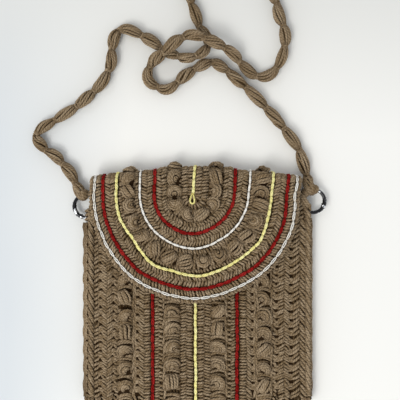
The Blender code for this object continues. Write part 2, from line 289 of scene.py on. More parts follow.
def yarn_finish(name, dark, middle, light, ends=0.6, groove=0.6, sheen=0.06):
    """Matt plied yarn in three tones, with grooves between the plies; the dark tone is painted shade in the
    grooves and at the ends.
    """
    finish = Finish(name)
    along = finish.axis("TexCoord", "UV", 0)
    around = finish.axis("TexCoord", "UV", 1)
    turns = finish.node("Attribute", {"attribute_name": "turns"}, out="Fac")
    ply = abs(((turns + around * PLIES) * math.pi).sine())
    # Painted shade at a strand's ends, where they lie deep between their neighbours.
    depth = abs(along * 2.0 - 1.0) ** 3.0 * ends
    own = finish.node("NewGeometry", out="Random Per Island")
    patch = finish.noise(90.0, 3.0)
    speck = finish.noise(480.0, 2.0)
    fibre = finish.noise(2600.0, 2.0)
    tone = finish.blend(own * 0.8 + patch * 0.6 + speck * 1.6 - 1.0, middle, light)
    tone = finish.blend(depth, tone, dark)
    # Painted shade in the grooves between the plies.
    tone = finish.blend((1.0 - ply) ** 1.6 * groove, tone, dark)
    height = ply * 0.9 + fibre * 0.4
    finish.set(Base_Color=tone, Normal=finish.bump(0.9, height), Roughness=0.92)
    finish.set(Sheen_Weight=sheen, Sheen_Roughness=0.5, Specular_IOR_Level=0.12)
    return finish.material


TAUPE = yarn_finish(
    "taupe_yarn",
    (0.042, 0.020, 0.004, 1.0),
    (0.228, 0.157, 0.083, 1.0),
    (0.405, 0.308, 0.198, 1.0),
)
RED = yarn_finish(
    "red_yarn",
    (0.040, 0.000, 0.000, 1.0),
    (0.215, 0.003, 0.002, 1.0),
    (0.400, 0.020, 0.017, 1.0),
    ends=1.0,
    sheen=0.0,
)
YELLOW = yarn_finish(
    "yellow_yarn",
    (0.420, 0.330, 0.070, 1.0),
    (0.930, 0.850, 0.310, 1.0),
    (0.980, 0.940, 0.470, 1.0),
    ends=0.8,
    groove=0.25,
)
WHITE = yarn_finish(
    "white_yarn",
    (0.400, 0.340, 0.240, 1.0),
    (0.930, 0.900, 0.820, 1.0),
    (0.980, 0.970, 0.930, 1.0),
    ends=0.7,
    groove=0.15,
)
# Painted shade: a darker copy of the taupe yarn, for the strands that lie deep under the rows and for the
# strap's core.
TAUPE_PAINTED_SHADE = yarn_finish(
    "taupe_yarn_painted_shade",
    (0.016, 0.007, 0.001, 1.0),
    (0.066, 0.038, 0.013, 1.0),
    (0.105, 0.068, 0.032, 1.0),
    sheen=0.0,
)
print("yarn finishes:", TAUPE.name, TAUPE_PAINTED_SHADE.name, RED.name, YELLOW.name, WHITE.name)

# %% [markdown]
# ## Other finishes
# The inner cloth is painted dark, a painted shade, because little light comes down between the strands. The
# rings are black plated metal with bright spots painted in as highlights. The floor is a plain pale surface,
# not quite evenly lit, and that uneven light is painted on it as shade to the left and at the far side.

# %% Finishes of the inner cloth, the metal and the floor


def inner_shade_finish():
    """The cloth under the visible strands, seen only between them: matt and uneven, painted dark as the shade
    between them.
    """
    finish = Finish("taupe_yarn_inner_shade")
    grain = finish.noise(900.0, 3.0)
    tone = finish.blend(grain, (0.010, 0.004, 0.001, 1.0), (0.032, 0.016, 0.005, 1.0))
    finish.set(Base_Color=tone, Normal=finish.bump(0.8, grain), Roughness=0.96, Specular_IOR_Level=0.1)
    return finish.material


def metal_finish():
    """Black plated metal, polished, with small bright metal spots painted in as highlights."""
    finish = Finish("black_metal")
    rub = finish.noise(450.0, 4.0)
    painted_glints = finish.noise(300.0, 1.0) * 18.0 - 10.6
    tone = finish.blend(rub, (0.006, 0.006, 0.008, 1.0), (0.036, 0.037, 0.042, 1.0))
    # Painted highlights: noise sets bright bare-metal spots that stand in for glints on the rings.
    tone = finish.blend(painted_glints, tone, (0.800, 0.830, 0.860, 1.0))
    finish.set(Base_Color=tone, Metallic=1.0, Roughness=rub * 0.10 + 0.06)
    finish.set(Coat_Weight=0.7, Coat_Roughness=0.04)
    return finish.material


def floor_finish():
    """The plain pale floor, with painted shade: darker and cooler to the left, darker at the far side."""
    pale = (0.93, 0.935, 0.91, 1.0)
    shaded_left = (0.67, 0.715, 0.75, 1.0)
    shaded_far = (0.74, 0.75, 0.73, 1.0)
    finish = Finish("floor_white")
    rightward = finish.axis("TexCoord", "Object", 0)
    upward = finish.axis("TexCoord", "Object", 1)
    drift = finish.noise(5.0, 2.0)
    # Painted shade on the floor: darker and cooler to the left, darker at the far side.
    tone = finish.blend(rightward * 9.0 + drift * 0.4 + 1.4, shaded_left, pale)
    tone = finish.blend((upward - 0.13) * 6.0, tone, shaded_far)
    finish.set(Base_Color=tone, Roughness=0.9)
    return finish.material


INNER_SHADE = inner_shade_finish()
METAL = metal_finish()
floor_mesh.materials.append(floor_finish())
print("other finishes:", INNER_SHADE.name, METAL.name)

# %% [markdown]
# ## The strap's line
# The strap is a free cord of puff stitches, about 1.07 m long. It leaves the sleeve on the left ring, kinks,
# bends back outside the top of the picture, comes down over its own first part at two places and ends at
# the right ring. Its route is a list of given points, and a smooth curve is drawn through them.
# The imported solid has the same route. A simulated rope would have fallen in some other pose.

# %% Rings and strap route
RING_X = 101.2
RING_Y = {"left": 68.3, "right": 72.8}
RING_RADIUS = 10.25
RING_WIRE = 1.75
RING_Z = 6.3
SLEEVE_RADIUS = 5.8
SLEEVE_HALF_ARC = 28.0
SLEEVE_DEGREES = {"left": 105.0, "right": 100.0}
STRAP_DEGREES = {"left": 117.0, "right": 105.0}
TAB_DEGREES = {"left": 41.0, "right": 139.0}
TAB_RADIUS = 3.25
GAP = 0.3
REST = 5.5
OVER = 17.5
STRAP_ROUTE = (
    # x, y, z
    (-115.0, 98.6, REST),
    (-127.0, 110.0, REST),
    (-140.0, 121.0, REST),
    (-145.6, 129.6, REST),
    (-141.2, 138.4, REST),
    (-123.0, 147.8, REST),
    (-102.0, 163.6, REST),
    (-83.6, 183.4, REST),
    (-78.4, 207.0, REST),
    (-75.4, 220.4, REST),
    (-66.0, 226.6, REST),
    (-28.6, 205.6, REST),
    (-17.0, 200.7, 10.0),
    (-6.0, 199.2, 15.8),
    (3.5, 204.0, 12.9),
    (7.4, 212.0, 6.5),
    (3.6, 221.6, REST),
    (-4.0, 237.0, REST),
    (-17.0, 320.0, REST),
    (5.0, 386.0, REST),
    (45.0, 383.0, REST),
    (67.8, 254.0, REST),
    (76.2, 220.0, REST),
    (72.6, 198.0, REST),
    (61.0, 184.8, REST),
    (48.6, 185.0, REST),
    (37.6, 194.8, 6.4),
    (25.0, 206.0, 12.2),
    (12.0, 212.6, OVER),
    (-10.0, 217.6, OVER),
    (-29.0, 204.6, OVER),
    (-43.2, 194.4, 7.4),
    (-44.6, 180.8, REST),
    (-29.5, 172.4, REST),
    (-9.6, 187.4, REST),
    (11.0, 196.6, REST),
    (29.5, 185.2, REST),
    (67.8, 146.6, REST),
    (89.8, 116.6, REST),
)
print("strap route points:", len(STRAP_ROUTE))

# %% Strap line


def ring_point(side, degrees, reach, height=0.0):
    """A point seen from the middle of a ring."""
    sign = -1.0 if side == "left" else 1.0
    turn = math.radians(degrees)
    middle = Vector((sign * RING_X, RING_Y[side], RING_Z))
    return middle + Vector((reach * math.cos(turn), reach * math.sin(turn), height))


def smooth_route(points, parts=16):
    """A smooth curve through a route's points (centripetal Catmull-Rom), as closely spaced points."""
    points = [Vector(point) for point in points]
    points = [2.0 * points[0] - points[1]] + points + [2.0 * points[-1] - points[-2]]
    curve = []
    for first, start, end, last in zip(points, points[1:], points[2:], points[3:]):
        knots = [0.0]
        for near, far in ((first, start), (start, end), (end, last)):
            knots.append(knots[-1] + math.sqrt((far - near).length))
        for part in range(parts):
            at = knots[1] + (knots[2] - knots[1]) * part / parts
            one = first.lerp(start, (at - knots[0]) / (knots[1] - knots[0]))
            two = start.lerp(end, (at - knots[1]) / (knots[2] - knots[1]))
            three = end.lerp(last, (at - knots[2]) / (knots[3] - knots[2]))
            four = one.lerp(two, (at - knots[0]) / (knots[2] - knots[0]))
            five = two.lerp(three, (at - knots[1]) / (knots[3] - knots[1]))
            curve.append(four.lerp(five, (at - knots[1]) / (knots[2] - knots[1])))
    curve.append(points[-2])
    return curve


class Line:
    """A curve as closely spaced points, read by distance, with offsets to its side and above it."""

    def __init__(self, points):
        self.points = points
        self.reach = [0.0]
        for near, far in zip(points, points[1:]):
            self.reach.append(self.reach[-1] + (far - near).length)
        self.length = self.reach[-1]

    def at(self, distance, side=0.0, up=0.0):
        """A place by distance; before the start and past the end the line runs on straight."""
        index = min(max(bisect.bisect_right(self.reach, distance), 1), len(self.points) - 1)
        near = self.points[index - 1]
        far = self.points[index]
        share = (distance - self.reach[index - 1]) / (self.reach[index] - self.reach[index - 1])
        ahead = (far - near).normalized()
        across = ahead.cross(UP).normalized()
        return near.lerp(far, share) + across * side + across.cross(ahead) * up


strap_reach = RING_RADIUS + SLEEVE_RADIUS + GAP
strap_start = ring_point("left", STRAP_DEGREES["left"], strap_reach)
strap_end = ring_point("right", STRAP_DEGREES["right"], strap_reach)
strap_places = smooth_route([strap_start, *STRAP_ROUTE, strap_end])
for place in strap_places:
    place.z = max(place.z, REST)
strap_line = Line(strap_places)
print("strap length in mm:", round(strap_line.length, 1))

# %% [markdown]
# ## From strands to a mesh
# Thousands of separate tubes are quickest as one curve object with a round bevel: each strand is a straight
# jointed spline whose points carry their own radius. Turned to a mesh, it keeps the UV along and round each
# tube that the yarn finish reads. A strand has six sides, enough under a smooth shading and a ply bump.

# %% Yarn pieces


def link(name, mesh, finish, slot):
    """Put a finished mesh into the scene as one piece that moves with the bag."""
    mesh.materials.clear()
    mesh.materials.append(finish)
    piece = bpy.data.objects.new(name, mesh)
    bpy.context.scene.collection.objects.link(piece)
    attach(piece, "root")
    return piece


def ply_turns(strands, sides):
    """How often the plies have turned at each vertex; the tubes' two end caps come first."""
    values = [0.0] * (2 * sides * len(strands))
    for strand in strands:
        reach = chance.random() * PLY_LENGTH
        last = strand[0][0]
        for place, radius in strand:
            reach += (place - last).length
            last = place
            values += [reach / PLY_LENGTH] * sides
    return values


def yarn(name, strands, finish=TAUPE, slot="taupe_yarn", sides=1):
    """One piece from many strands; a strand is a list of points, each a place and a radius."""
    data = bpy.data.curves.new(name + "_lines", "CURVE")
    data.dimensions = "3D"
    data.bevel_depth = MM
    data.bevel_resolution = sides
    data.use_fill_caps = True
    for strand in strands:
        spline = data.splines.new("POLY")
        spline.points.add(len(strand) - 1)
        for point, (place, radius) in zip(spline.points, strand):
            point.co = (place.x * MM, place.y * MM, place.z * MM, 1.0)
            point.radius = radius
    guide = bpy.data.objects.new(name + "_lines", data)
    mesh = bpy.data.meshes.new_from_object(guide)
    mesh.name = name
    bpy.data.objects.remove(guide)
    turns = mesh.attributes.new("turns", "FLOAT", "POINT")
    turns.data.foreach_set("value", ply_turns(strands, 4 + 2 * sides))
    mesh.shade_smooth()
    triangles = sum(len(face.vertices) - 2 for face in mesh.polygons)
    print(name, "strands:", len(strands), "triangles:", triangles)
    return link(name, mesh, finish, slot)


# %% [markdown]
# ## Strap
# In each puff twelve strands run from neck to neck, bellied in the middle and turning a little round the
# cord, with dark gaps between them. Two strands are wound aslant round each neck. Most puffs belly out to
# one side, as their hook side is longer. The necks stand at listed distances along the strap. Inside is a
# core in the painted-shade copy of the yarn: it has the strap's length and line, and narrows at the necks too.

# %% Strap
STRAP_NECKS = (
    # distances along the strap
    7.0, 27.4, 45.7, 64.0, 84.9, 108.0, 128.5, 150.4, 170.5, 189.0, 211.0, 231.3, 250.0,
    267.0, 284.5, 305.0, 326.7, 348.3, 369.9, 391.5, 413.0, 434.6, 456.2, 477.8, 499.4, 521.0,
    542.6, 564.2, 585.7, 607.3, 628.9, 650.5, 670.6, 689.1, 709.7, 730.1, 750.2, 769.9, 789.5,
    809.0, 830.3, 850.8, 872.4, 892.1, 911.5, 928.5, 945.0, 966.1, 991.6, 1016.5, 1040.2, 1063.5,
)
NECK_HALF = 1.2
STRAP_INTO_END = 8.0
PUFF_STRANDS = 12
PUFF_STEPS = 9
STRAP_YARN = 0.95
STRAP_NECK = 1.9
STRAP_BELLY = 4.25
FULL_PUFF = 18.0
WIND_STEPS = 9
WIND_RADIUS = 2.45
WIND_APART = 0.9


def swelling(distance, length):
    """How full a puff of a certain length is at a distance from its start: the necks stay thin."""
    share = (distance - NECK_HALF) / max(length - 2.0 * NECK_HALF, 1.0)
    return math.sin(math.pi * min(max(share, 0.0), 1.0)) ** 0.42


def fullness(start, end):
    """A short puff stays thinner than a long one."""
    return min((end - start) / FULL_PUFF, 1.0)


def puff(start, end, belly, twist, phase, shift):
    """The long strands of one puff between two places of the strap."""
    made = []
    for number in range(PUFF_STRANDS):
        turn = phase + 2.0 * math.pi * (number + uneven(0.3)) / PUFF_STRANDS
        full = belly + uneven(0.5)
        own_twist = twist + uneven(0.9)
        strand = []
        for share in shares(PUFF_STEPS):
            swell = swelling((end - start) * share, end - start)
            radius = STRAP_NECK + (full - STRAP_NECK) * swell
            angle = turn + own_twist * (share - 0.5)
            aside = radius * math.cos(angle) + shift * swell
            place = strap_line.at(start + (end - start) * share, aside, radius * math.sin(angle))
            place.z = max(place.z, STRAP_YARN)
            strand.append((place, STRAP_YARN * (0.72 + 0.28 * swell)))
        made.append(strand)
    return made


def wound(line, distance, radius, thick, slant):
    """One turn of yarn round a line, a little aslant."""
    strand = []
    for step in range(WIND_STEPS + 1):
        angle = 2.0 * math.pi * step / WIND_STEPS
        shift = slant * math.sin(angle)
        strand.append((line.at(distance + shift, radius * math.cos(angle), radius * math.sin(angle)), thick))
    return strand


def strap_strands():
    """Every strand of the strap."""
    made = []
    marks = [-STRAP_INTO_END, *STRAP_NECKS, strap_line.length + STRAP_INTO_END]
    for start, end in zip(marks, marks[1:]):
        full = fullness(start, end)
        belly = (STRAP_BELLY + uneven(0.3)) * full ** 0.5
        twist = 1.1 + uneven(0.6)
        phase = uneven(0.5)
        shift = (0.5 + uneven(1.0)) * full
        made += puff(start, end, belly, twist, phase, shift)
    for mark in STRAP_NECKS:
        for shift in (-WIND_APART, WIND_APART):
            made.append(wound(strap_line, mark + shift, WIND_RADIUS, STRAP_YARN, 1.5 + uneven(0.9)))
    return made


strap_yarn = yarn("strap_yarn", strap_strands())

# %% Strap core
CORE_STEP = 2.0
CORE_NECK = 1.6
CORE_BELLY = 3.7

strap_marks = [0.0, *STRAP_NECKS, strap_line.length]


def core_radius(distance):
    """The core follows the puffs."""
    index = min(max(bisect.bisect_right(strap_marks, distance), 1), len(strap_marks) - 1)
    start, end = strap_marks[index - 1], strap_marks[index]
    swell = swelling(distance - start, end - start)
    return CORE_NECK + (CORE_BELLY - CORE_NECK) * fullness(start, end) * swell


core_steps = round(strap_line.length / CORE_STEP)
core_reach = [strap_line.length * step / core_steps for step in range(core_steps + 1)]
core_path = [strap_line.at(distance) for distance in core_reach]
core_strand = [(place, core_radius(distance)) for place, distance in zip(core_path, core_reach)]
# The core takes the painted-shade copy of the yarn.
strap_core = yarn("strap_core", [core_strand], TAUPE_PAINTED_SHADE, sides=2)
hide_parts("strap")

# %% [markdown]
# ## Strap ends and corner loops
# At both ends the strap closes round a ring: turns of yarn lie side by side round the wire, in a ball that is
# fullest in its middle. Small loops of yarn hold each ring to the bag's corner.

# %% Inner cloth


def inner_cloth(node, inset, under=None, outward=None):
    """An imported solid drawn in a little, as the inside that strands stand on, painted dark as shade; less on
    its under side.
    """
    shape = bmesh.new()
    shape.from_mesh(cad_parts[node].data)
    bmesh.ops.remove_doubles(shape, verts=shape.verts[:], dist=0.02 * MM)
    shape.normal_update()
    places = []
    for vert in shape.verts:
        outer = outward is None or vert.normal.dot(outward(vert.co / MM)) > 0.0
        places.append(vert.co - vert.normal * (inset if outer else under) * MM)
    for vert, place in zip(shape.verts, places):
        vert.co = place
    mesh = bpy.data.meshes.new(node + "_inner")
    shape.to_mesh(mesh)
    shape.free()
    mesh.shade_smooth()
    piece = link(node + "_inner", mesh, INNER_SHADE, "taupe_yarn")
    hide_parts(node)
    return piece


# %% Strap ends and corner loops
ARC_STEPS = 16
END_TURNS = 9
END_YARN = 1.1
END_UNDER = 1.3
END_TAPER = 2.2
END_INSET = 1.2
TAB_LOOPS = (-9.0, 0.0, 9.0)
TAB_HALF_ARC = 10.0
TAB_MIDDLE = 1.79
TAB_YARN = 1.05


def ring_arc(side, start, end):
    """A stretch of a ring's wire as a line."""
    spots = [start + (end - start) * step / ARC_STEPS for step in range(ARC_STEPS + 1)]
    return Line([ring_point(side, spot, RING_RADIUS) for spot in spots])


for side in ("left", "right"):
    middle = SLEEVE_DEGREES[side]
    arc = ring_arc(side, middle + SLEEVE_HALF_ARC, middle - SLEEVE_HALF_ARC)
    made = []
    for number in range(END_TURNS):
        share = (number + 0.5) / END_TURNS
        around = SLEEVE_RADIUS - END_UNDER - END_TAPER * abs(2.0 * share - 1.0) ** 2.0 + uneven(0.2)
        made.append(wound(arc, arc.length * share, around, END_YARN, 0.6 + uneven(0.4)))
    yarn("strap_end_yarn_" + side, made)
    inner_cloth("strap_end_" + side, END_INSET)
    loops = []
    for shift in TAB_LOOPS:
        spot = TAB_DEGREES[side] + shift
        arc = ring_arc(side, spot - TAB_HALF_ARC, spot + TAB_HALF_ARC)
        loops.append(wound(arc, TAB_MIDDLE, TAB_RADIUS, TAB_YARN, 0.5))
    tab = yarn("ring_tab_yarn_" + side, loops)
    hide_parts("ring_tab_" + side)

[tuple(place * MM) for place in core_path]

# %% [markdown]
# ## Rings
# A gate ring is a round wire with a hinged stretch that springs open. Circles of the wire's section are set
# round the ring's middle and bridged. The gate is a second, slightly thicker stretch with rounded ends, with
# a collar beyond each end, one rivet and a small nib for the thumb. It stays shut.

# %% Rings
RING_STEPS = 72
WIRE_SIDES = 16
GATE = {
    # side: (joint, hinge, nib) in degrees
    "left": (172.0, 232.0, 246.0),
    "right": (9.0, -38.0, -18.0),
}
BARE_WIRE = RING_WIRE - 0.12
GATE_WIRE = 1.95
GATE_SHOULDER = 1.8
GATE_END = 1.3
COLLAR_END = 1.5
COLLAR_APART = 6.0
RIVET_AT = 7.0
NIB_RADIUS = 0.85
RIVET_RADIUS = 0.6
KNOB_INWARD = 1.7
SHARP_ANGLE = math.radians(40.0)


def turned(middle, sections, closed):
    """Round sections placed along a ring and bridged; a section is an angle and a radius."""
    shape = bmesh.new()
    rims = []
    for degrees, radius in sections:
        turn = math.radians(degrees)
        rim = bmesh.ops.create_circle(shape, cap_ends=False, segments=WIRE_SIDES, radius=radius)["verts"]
        outward = Vector((math.cos(turn), math.sin(turn), 0.0))
        for vert in rim:
            vert.co = middle + outward * (RING_RADIUS + vert.co.x) + UP * vert.co.y
        rims.append([edge for edge in shape.edges if edge.verts[0] in rim and edge.verts[1] in rim])
    pairs = list(zip(rims, rims[1:]))
    if closed:
        pairs.append((rims[-1], rims[0]))
    for near, far in pairs:
        bmesh.ops.bridge_loops(shape, edges=near + far)
    if not closed:
        for rim in (rims[0], rims[-1]):
            bmesh.ops.holes_fill(shape, edges=rim, sides=0)
    bmesh.ops.recalc_face_normals(shape, faces=shape.faces[:])
    bmesh.ops.scale(shape, vec=(MM, MM, MM), verts=shape.verts[:])
    return shape


# %% Ring and gate


def ring(side):
    """One ring with its gate."""
    middle = ring_point(side, 0.0, 0.0)
    joint, hinge, nib = GATE[side]
    wire = [(360.0 * step / RING_STEPS, BARE_WIRE) for step in range(RING_STEPS)]
    shape = turned(middle, wire, True)
    low, high = sorted((joint, hinge))
    gate = [(low, GATE_END), (low + 1.0, GATE_SHOULDER), (low + 2.5, GATE_WIRE)]
    gate += [(low + (high - low) * step / 12.0, GATE_WIRE) for step in range(2, 11)]
    gate += [(high - 2.5, GATE_WIRE), (high - 1.0, GATE_SHOULDER), (high, GATE_END)]
    parts = [turned(middle, gate, False)]
    for spot in (low - COLLAR_APART, high + COLLAR_APART):
        collar = [(spot - 2.6, COLLAR_END), (spot - 1.6, GATE_WIRE)]
        collar += [(spot + 1.6, GATE_WIRE), (spot + 2.6, COLLAR_END)]
        parts.append(turned(middle, collar, False))
    mesh = bpy.data.meshes.new("ring_" + side)
    for part in parts:
        spare = bpy.data.meshes.new("spare")
        part.to_mesh(spare)
        part.free()
        shape.from_mesh(spare)
        bpy.data.meshes.remove(spare)
    for spot, radius in ((nib, NIB_RADIUS), (low + RIVET_AT, RIVET_RADIUS)):
        knob = bmesh.ops.create_uvsphere(shape, u_segments=12, v_segments=8, radius=radius * MM)["verts"]
        knob_place = ring_point(side, spot, RING_RADIUS - KNOB_INWARD)
        bmesh.ops.translate(shape, vec=knob_place * MM, verts=knob)
    shape.to_mesh(mesh)
    shape.free()
    mesh.shade_smooth()
    mesh.set_sharp_from_angle(angle=SHARP_ANGLE)
    piece = link("ring_gate_" + side, mesh, METAL, "black_metal")
    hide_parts("ring_" + side)
    return piece


rings = [ring(side) for side in ("left", "right")]
print("rings:", [len(piece.data.polygons) for piece in rings])

# %% [markdown]
# ## How a stitch shows
# One leg of a stitch comes up out of the cloth, crosses it and dives. It is described on the flat cloth, by
# how far across and along it starts and ends, and a place function then brings it to where that cloth lies.
# Rows of legs, bobbles and sewn chains are all made this way, so the front, the round flap and the back
# share them. A stitch has two or three legs. Close to their ends they may draw together, by what the row's
# table says, which opens a small hole before the next stitch's legs. Long strands lie under the rows and
# fill the furrows between.

# %% Stitches on flat cloth
STITCH = 7.8
LEG_STEPS = 5
# A leg's radius by how many legs its stitch has
LEG_YARN = {1: 1.1, 2: 1.18, 3: 1.03}
CLOSING_POWER = 5.0
UNDER_STEP = 6.0
UNDER_PITCH = 2.65
UNDER_YARN = 1.3


def leg(start, end, thick=1.2, bow=0.0, low=-1.6, high=-0.7):
    """One visible strand between two flat points: samples of across, along, lift and radius."""
    length = math.hypot(end[0] - start[0], end[1] - start[1])
    high += uneven(0.3)
    samples = []
    for share in shares(LEG_STEPS):
        arch = math.sin(math.pi * share)
        aside = bow * arch / length
        across = start[0] + (end[0] - start[0]) * share - (end[1] - start[1]) * aside
        along = start[1] + (end[1] - start[1]) * share + (end[0] - start[0]) * aside
        lift = low + (high - low) * arch ** 0.6
        samples.append((across, along, lift, thick * (0.78 + 0.22 * arch ** 0.5)))
    return samples


def row_of_legs(near, far, begin, end, lean, group, close_near, close_far, **looks):
    """Legs side by side, each from near to far across; a stitch's legs close up by the given amounts."""
    pitch = STITCH / group
    count = int((end - begin) / pitch)
    made = []
    for number in range(count):
        along = begin + pitch * (number + 0.5) - lean / 2.0
        pull = 1.0 - 2.0 * (number % group) / (group - 1) if group > 1 else 0.0
        start = (near + uneven(0.4), along + uneven(0.3))
        stop = (far + uneven(0.4), along + lean + uneven(0.3))
        thick = LEG_YARN[group] * (1.0 + uneven(0.12))
        samples = leg(start, stop, thick, uneven(0.5), **looks)
        closed = []
        for share, (across, spot, lift, radius) in zip(shares(LEG_STEPS), samples):
            closing = close_near * (1.0 - share) ** CLOSING_POWER + close_far * share ** CLOSING_POWER
            closed.append((across, spot + pull * closing, lift, radius))
        made.append(closed)
    return made


def under_strand(across, begin, end, lift=-2.1):
    """One long strand along a row, a little wavy."""
    count = max(round((end - begin) / UNDER_STEP), 1)
    samples = []
    for step in range(count + 1):
        along = begin + (end - begin) * step / count
        samples.append((across + uneven(0.45), along, lift + uneven(0.15), UNDER_YARN))
    return samples


# %% [markdown]
# ## Bobbles
# A bobble is a bundle of long strands pushed up over a dome. The real ones lie in many ways. Here there are
# two kinds of bundle, straight and bent round a point, each a little turned and uneven.

# %% Bobbles
BOBBLE_HEIGHT = 4.0
BOBBLE_RADIUS = 6.9
BOBBLE_LANES = 5
BOBBLE_STEPS = 8
BOBBLE_YARN = 1.12
BUNDLE_HALF = 4.6
BUNDLE_LONG = 6.2
BENT_HALF = 3.3
BENT_RADIUS = 3.5
BENT_END = math.radians(104.0)
BENT_CURL = math.radians(12.0)


def bundle_point(lane, share, twist):
    """Straight bundle: lanes side by side, drawn together at both ends and turned like a skein."""
    swing = share * math.pi / 2.0
    aside = BUNDLE_HALF * (lane + twist * math.sin(swing)) * (0.5 + 0.5 * math.cos(swing))
    return aside, BUNDLE_LONG * math.sin(swing)


def bent_point(lane, share, twist):
    """Bent bundle: nested arcs, as where a skein is drawn round a point."""
    reach = BENT_RADIUS + BENT_HALF * (lane + 0.3 * twist * share)
    swing = (BENT_END + BENT_CURL * (1.0 - lane)) * share
    return reach * math.cos(swing) - BENT_RADIUS + 0.8, reach * math.sin(swing)


def bobble(across, along, tilt, kind, crest=0.0):
    """A puff of long strands over a dome of the cloth; its crest may lie to the upper right."""
    size = 0.98 + uneven(0.08)
    twist = 0.25 + uneven(0.25)
    made = []
    for number in range(BOBBLE_LANES):
        lane = 2.0 * number / (BOBBLE_LANES - 1) - 1.0 + uneven(0.16)
        proud = uneven(0.75)
        samples = []
        for step in range(BOBBLE_STEPS + 1):
            share = 2.0 * step / BOBBLE_STEPS - 1.0
            aside, forward = kind(lane, share, twist)
            turned_across = size * (aside * math.cos(tilt) - forward * math.sin(tilt))
            turned_along = size * (aside * math.sin(tilt) + forward * math.cos(tilt))
            out = ((turned_across - crest) ** 2 + (turned_along - crest) ** 2) / BOBBLE_RADIUS ** 2
            lift = BOBBLE_HEIGHT * math.sqrt(max(1.0 - out, 0.0)) - 0.9 - 0.8 * share ** 6.0 + proud
            thick = BOBBLE_YARN * (1.0 - 0.25 * abs(share) ** 3.0)
            samples.append((across + turned_across, along + turned_along, lift, thick))
        made.append(samples)
    return made


# %% Chains and how strands are laid
LINK_FORM = (
    # share of the link, share of its width, rise
    (0.0, 0.1, -1.1),
    (0.15, 0.75, -0.3),
    (0.45, 1.0, 0.0),
    (0.75, 0.9, 0.0),
    (0.92, 0.45, -0.3),
    (1.04, 0.1, -1.1),
)
WANDER = 0.9
WANDER_CELL = 9.0
LIFT_WANDER = 0.7


def chain(across, begin, end, pitch, wide, thick, high):
    """A sewn chain: each link is two legs that part and close again over the next link's start."""
    count = max(int((end - begin) / pitch), 1)
    pitch = (end - begin) / count
    made = []
    for number in range(count):
        start = begin + pitch * number
        sway = uneven(0.25)
        for side in (-1.0, 1.0):
            samples = []
            for share, part, rise in LINK_FORM:
                along = start + pitch * share
                aside = side * wide * part + sway
                samples.append((across(along) + aside, along, high + rise, thick * (1.0 + uneven(0.06))))
            made.append(samples)
    return made


def lay(flat_strands, place, wander=WANDER):
    """Bring flat strands to where their cloth lies; neighbours wander together, as hand work does."""
    made = []
    for strand in flat_strands:
        laid = []
        for across, along, lift, radius in strand:
            drift = noise.noise_vector(Vector((across, along, 2.0)) / WANDER_CELL)
            spot = place(across + wander * drift.x, along + wander * drift.y, lift + LIFT_WANDER * drift.z)
            laid.append((spot, radius))
        made.append(laid)
    return made


print("one leg has", len(leg((0.0, 0.0), (6.0, 0.0))), "points")

# %% [markdown]
# ## Front panel
# The front's rows stand upright. Across it there are open rows with small round holes, slanted V rows, plain
# bars and four columns of bobbles. A table names each row of legs: where it starts and ends across the bag,
# how much its legs lean, how many a stitch has, and how they close up. One leg a stitch with a long lean
# makes an upright cord.

# %% The front's form
CLOTH = 4.0
PANEL_HALF = 93.0
PANEL_BOTTOM = -100.6
FRONT_MOUTH = 81.0
FRONT_UNDER = 8.6
POCKET_CROWN = 1.4
SLOPE_START = 75.0
FLAT_HALF = 40.0
BOTTOM_ROUNDING = 0.08
BOTTOM_REACH = 5.0
CORNERS = (
    # y, left, right
    (PANEL_BOTTOM, PANEL_HALF, PANEL_HALF),
    (54.0, PANEL_HALF, PANEL_HALF),
    (54.3, 101.0, PANEL_HALF),
    (58.0, 101.0, PANEL_HALF),
    (58.3, 101.0, 98.0),
    (65.2, 101.0, 98.0),
    (69.6, 94.5, 98.0),
    (74.7, 90.5, 93.9),
    (79.0, 88.0, 90.5),
    (89.15, 82.0, 84.0),
)
FRONT_RIBS = (
    # x, rise
    (-93.0, -0.6),
    (-87.1, -0.8),
    (-81.8, 1.2),
    (-75.2, -0.8),
    (-54.1, -0.8),
    (-44.9, 0.9),
    (-41.1, -0.4),
    (-36.0, 0.9),
    (-11.4, 0.9),
    (-4.0, -0.4),
    (2.6, 0.9),
    (28.6, 0.9),
    (33.0, -0.4),
    (39.2, 1.0),
    (47.1, -0.8),
    (68.2, -0.8),
    (74.4, 1.2),
    (80.5, -0.8),
    (84.9, 0.9),
    (93.0, -0.6),
)


def panel_place(x, y):
    """A point of a panel, drawn in where the ring corners are cut away."""
    half = between(CORNERS, y, 1 if x < 0.0 else 2)
    if abs(x) > SLOPE_START:
        share = (abs(x) - SLOPE_START) / (PANEL_HALF - SLOPE_START)
        share = min(share, 1.0) if y > 50.0 else share
        x = math.copysign(SLOPE_START + share * (half - SLOPE_START), x)
    return x, y


def on_front(x, y, lift):
    """A place over the front panel."""
    share = min(max((SLOPE_START - abs(x)) / (SLOPE_START - FLAT_HALF), 0.0), 1.0)
    top = FRONT_UNDER + POCKET_CROWN * share + CLOTH + between(FRONT_RIBS, x)
    top -= BOTTOM_ROUNDING * max(PANEL_BOTTOM - y, 0.0) ** 2.0
    return Vector((*panel_place(x, y), top + lift))


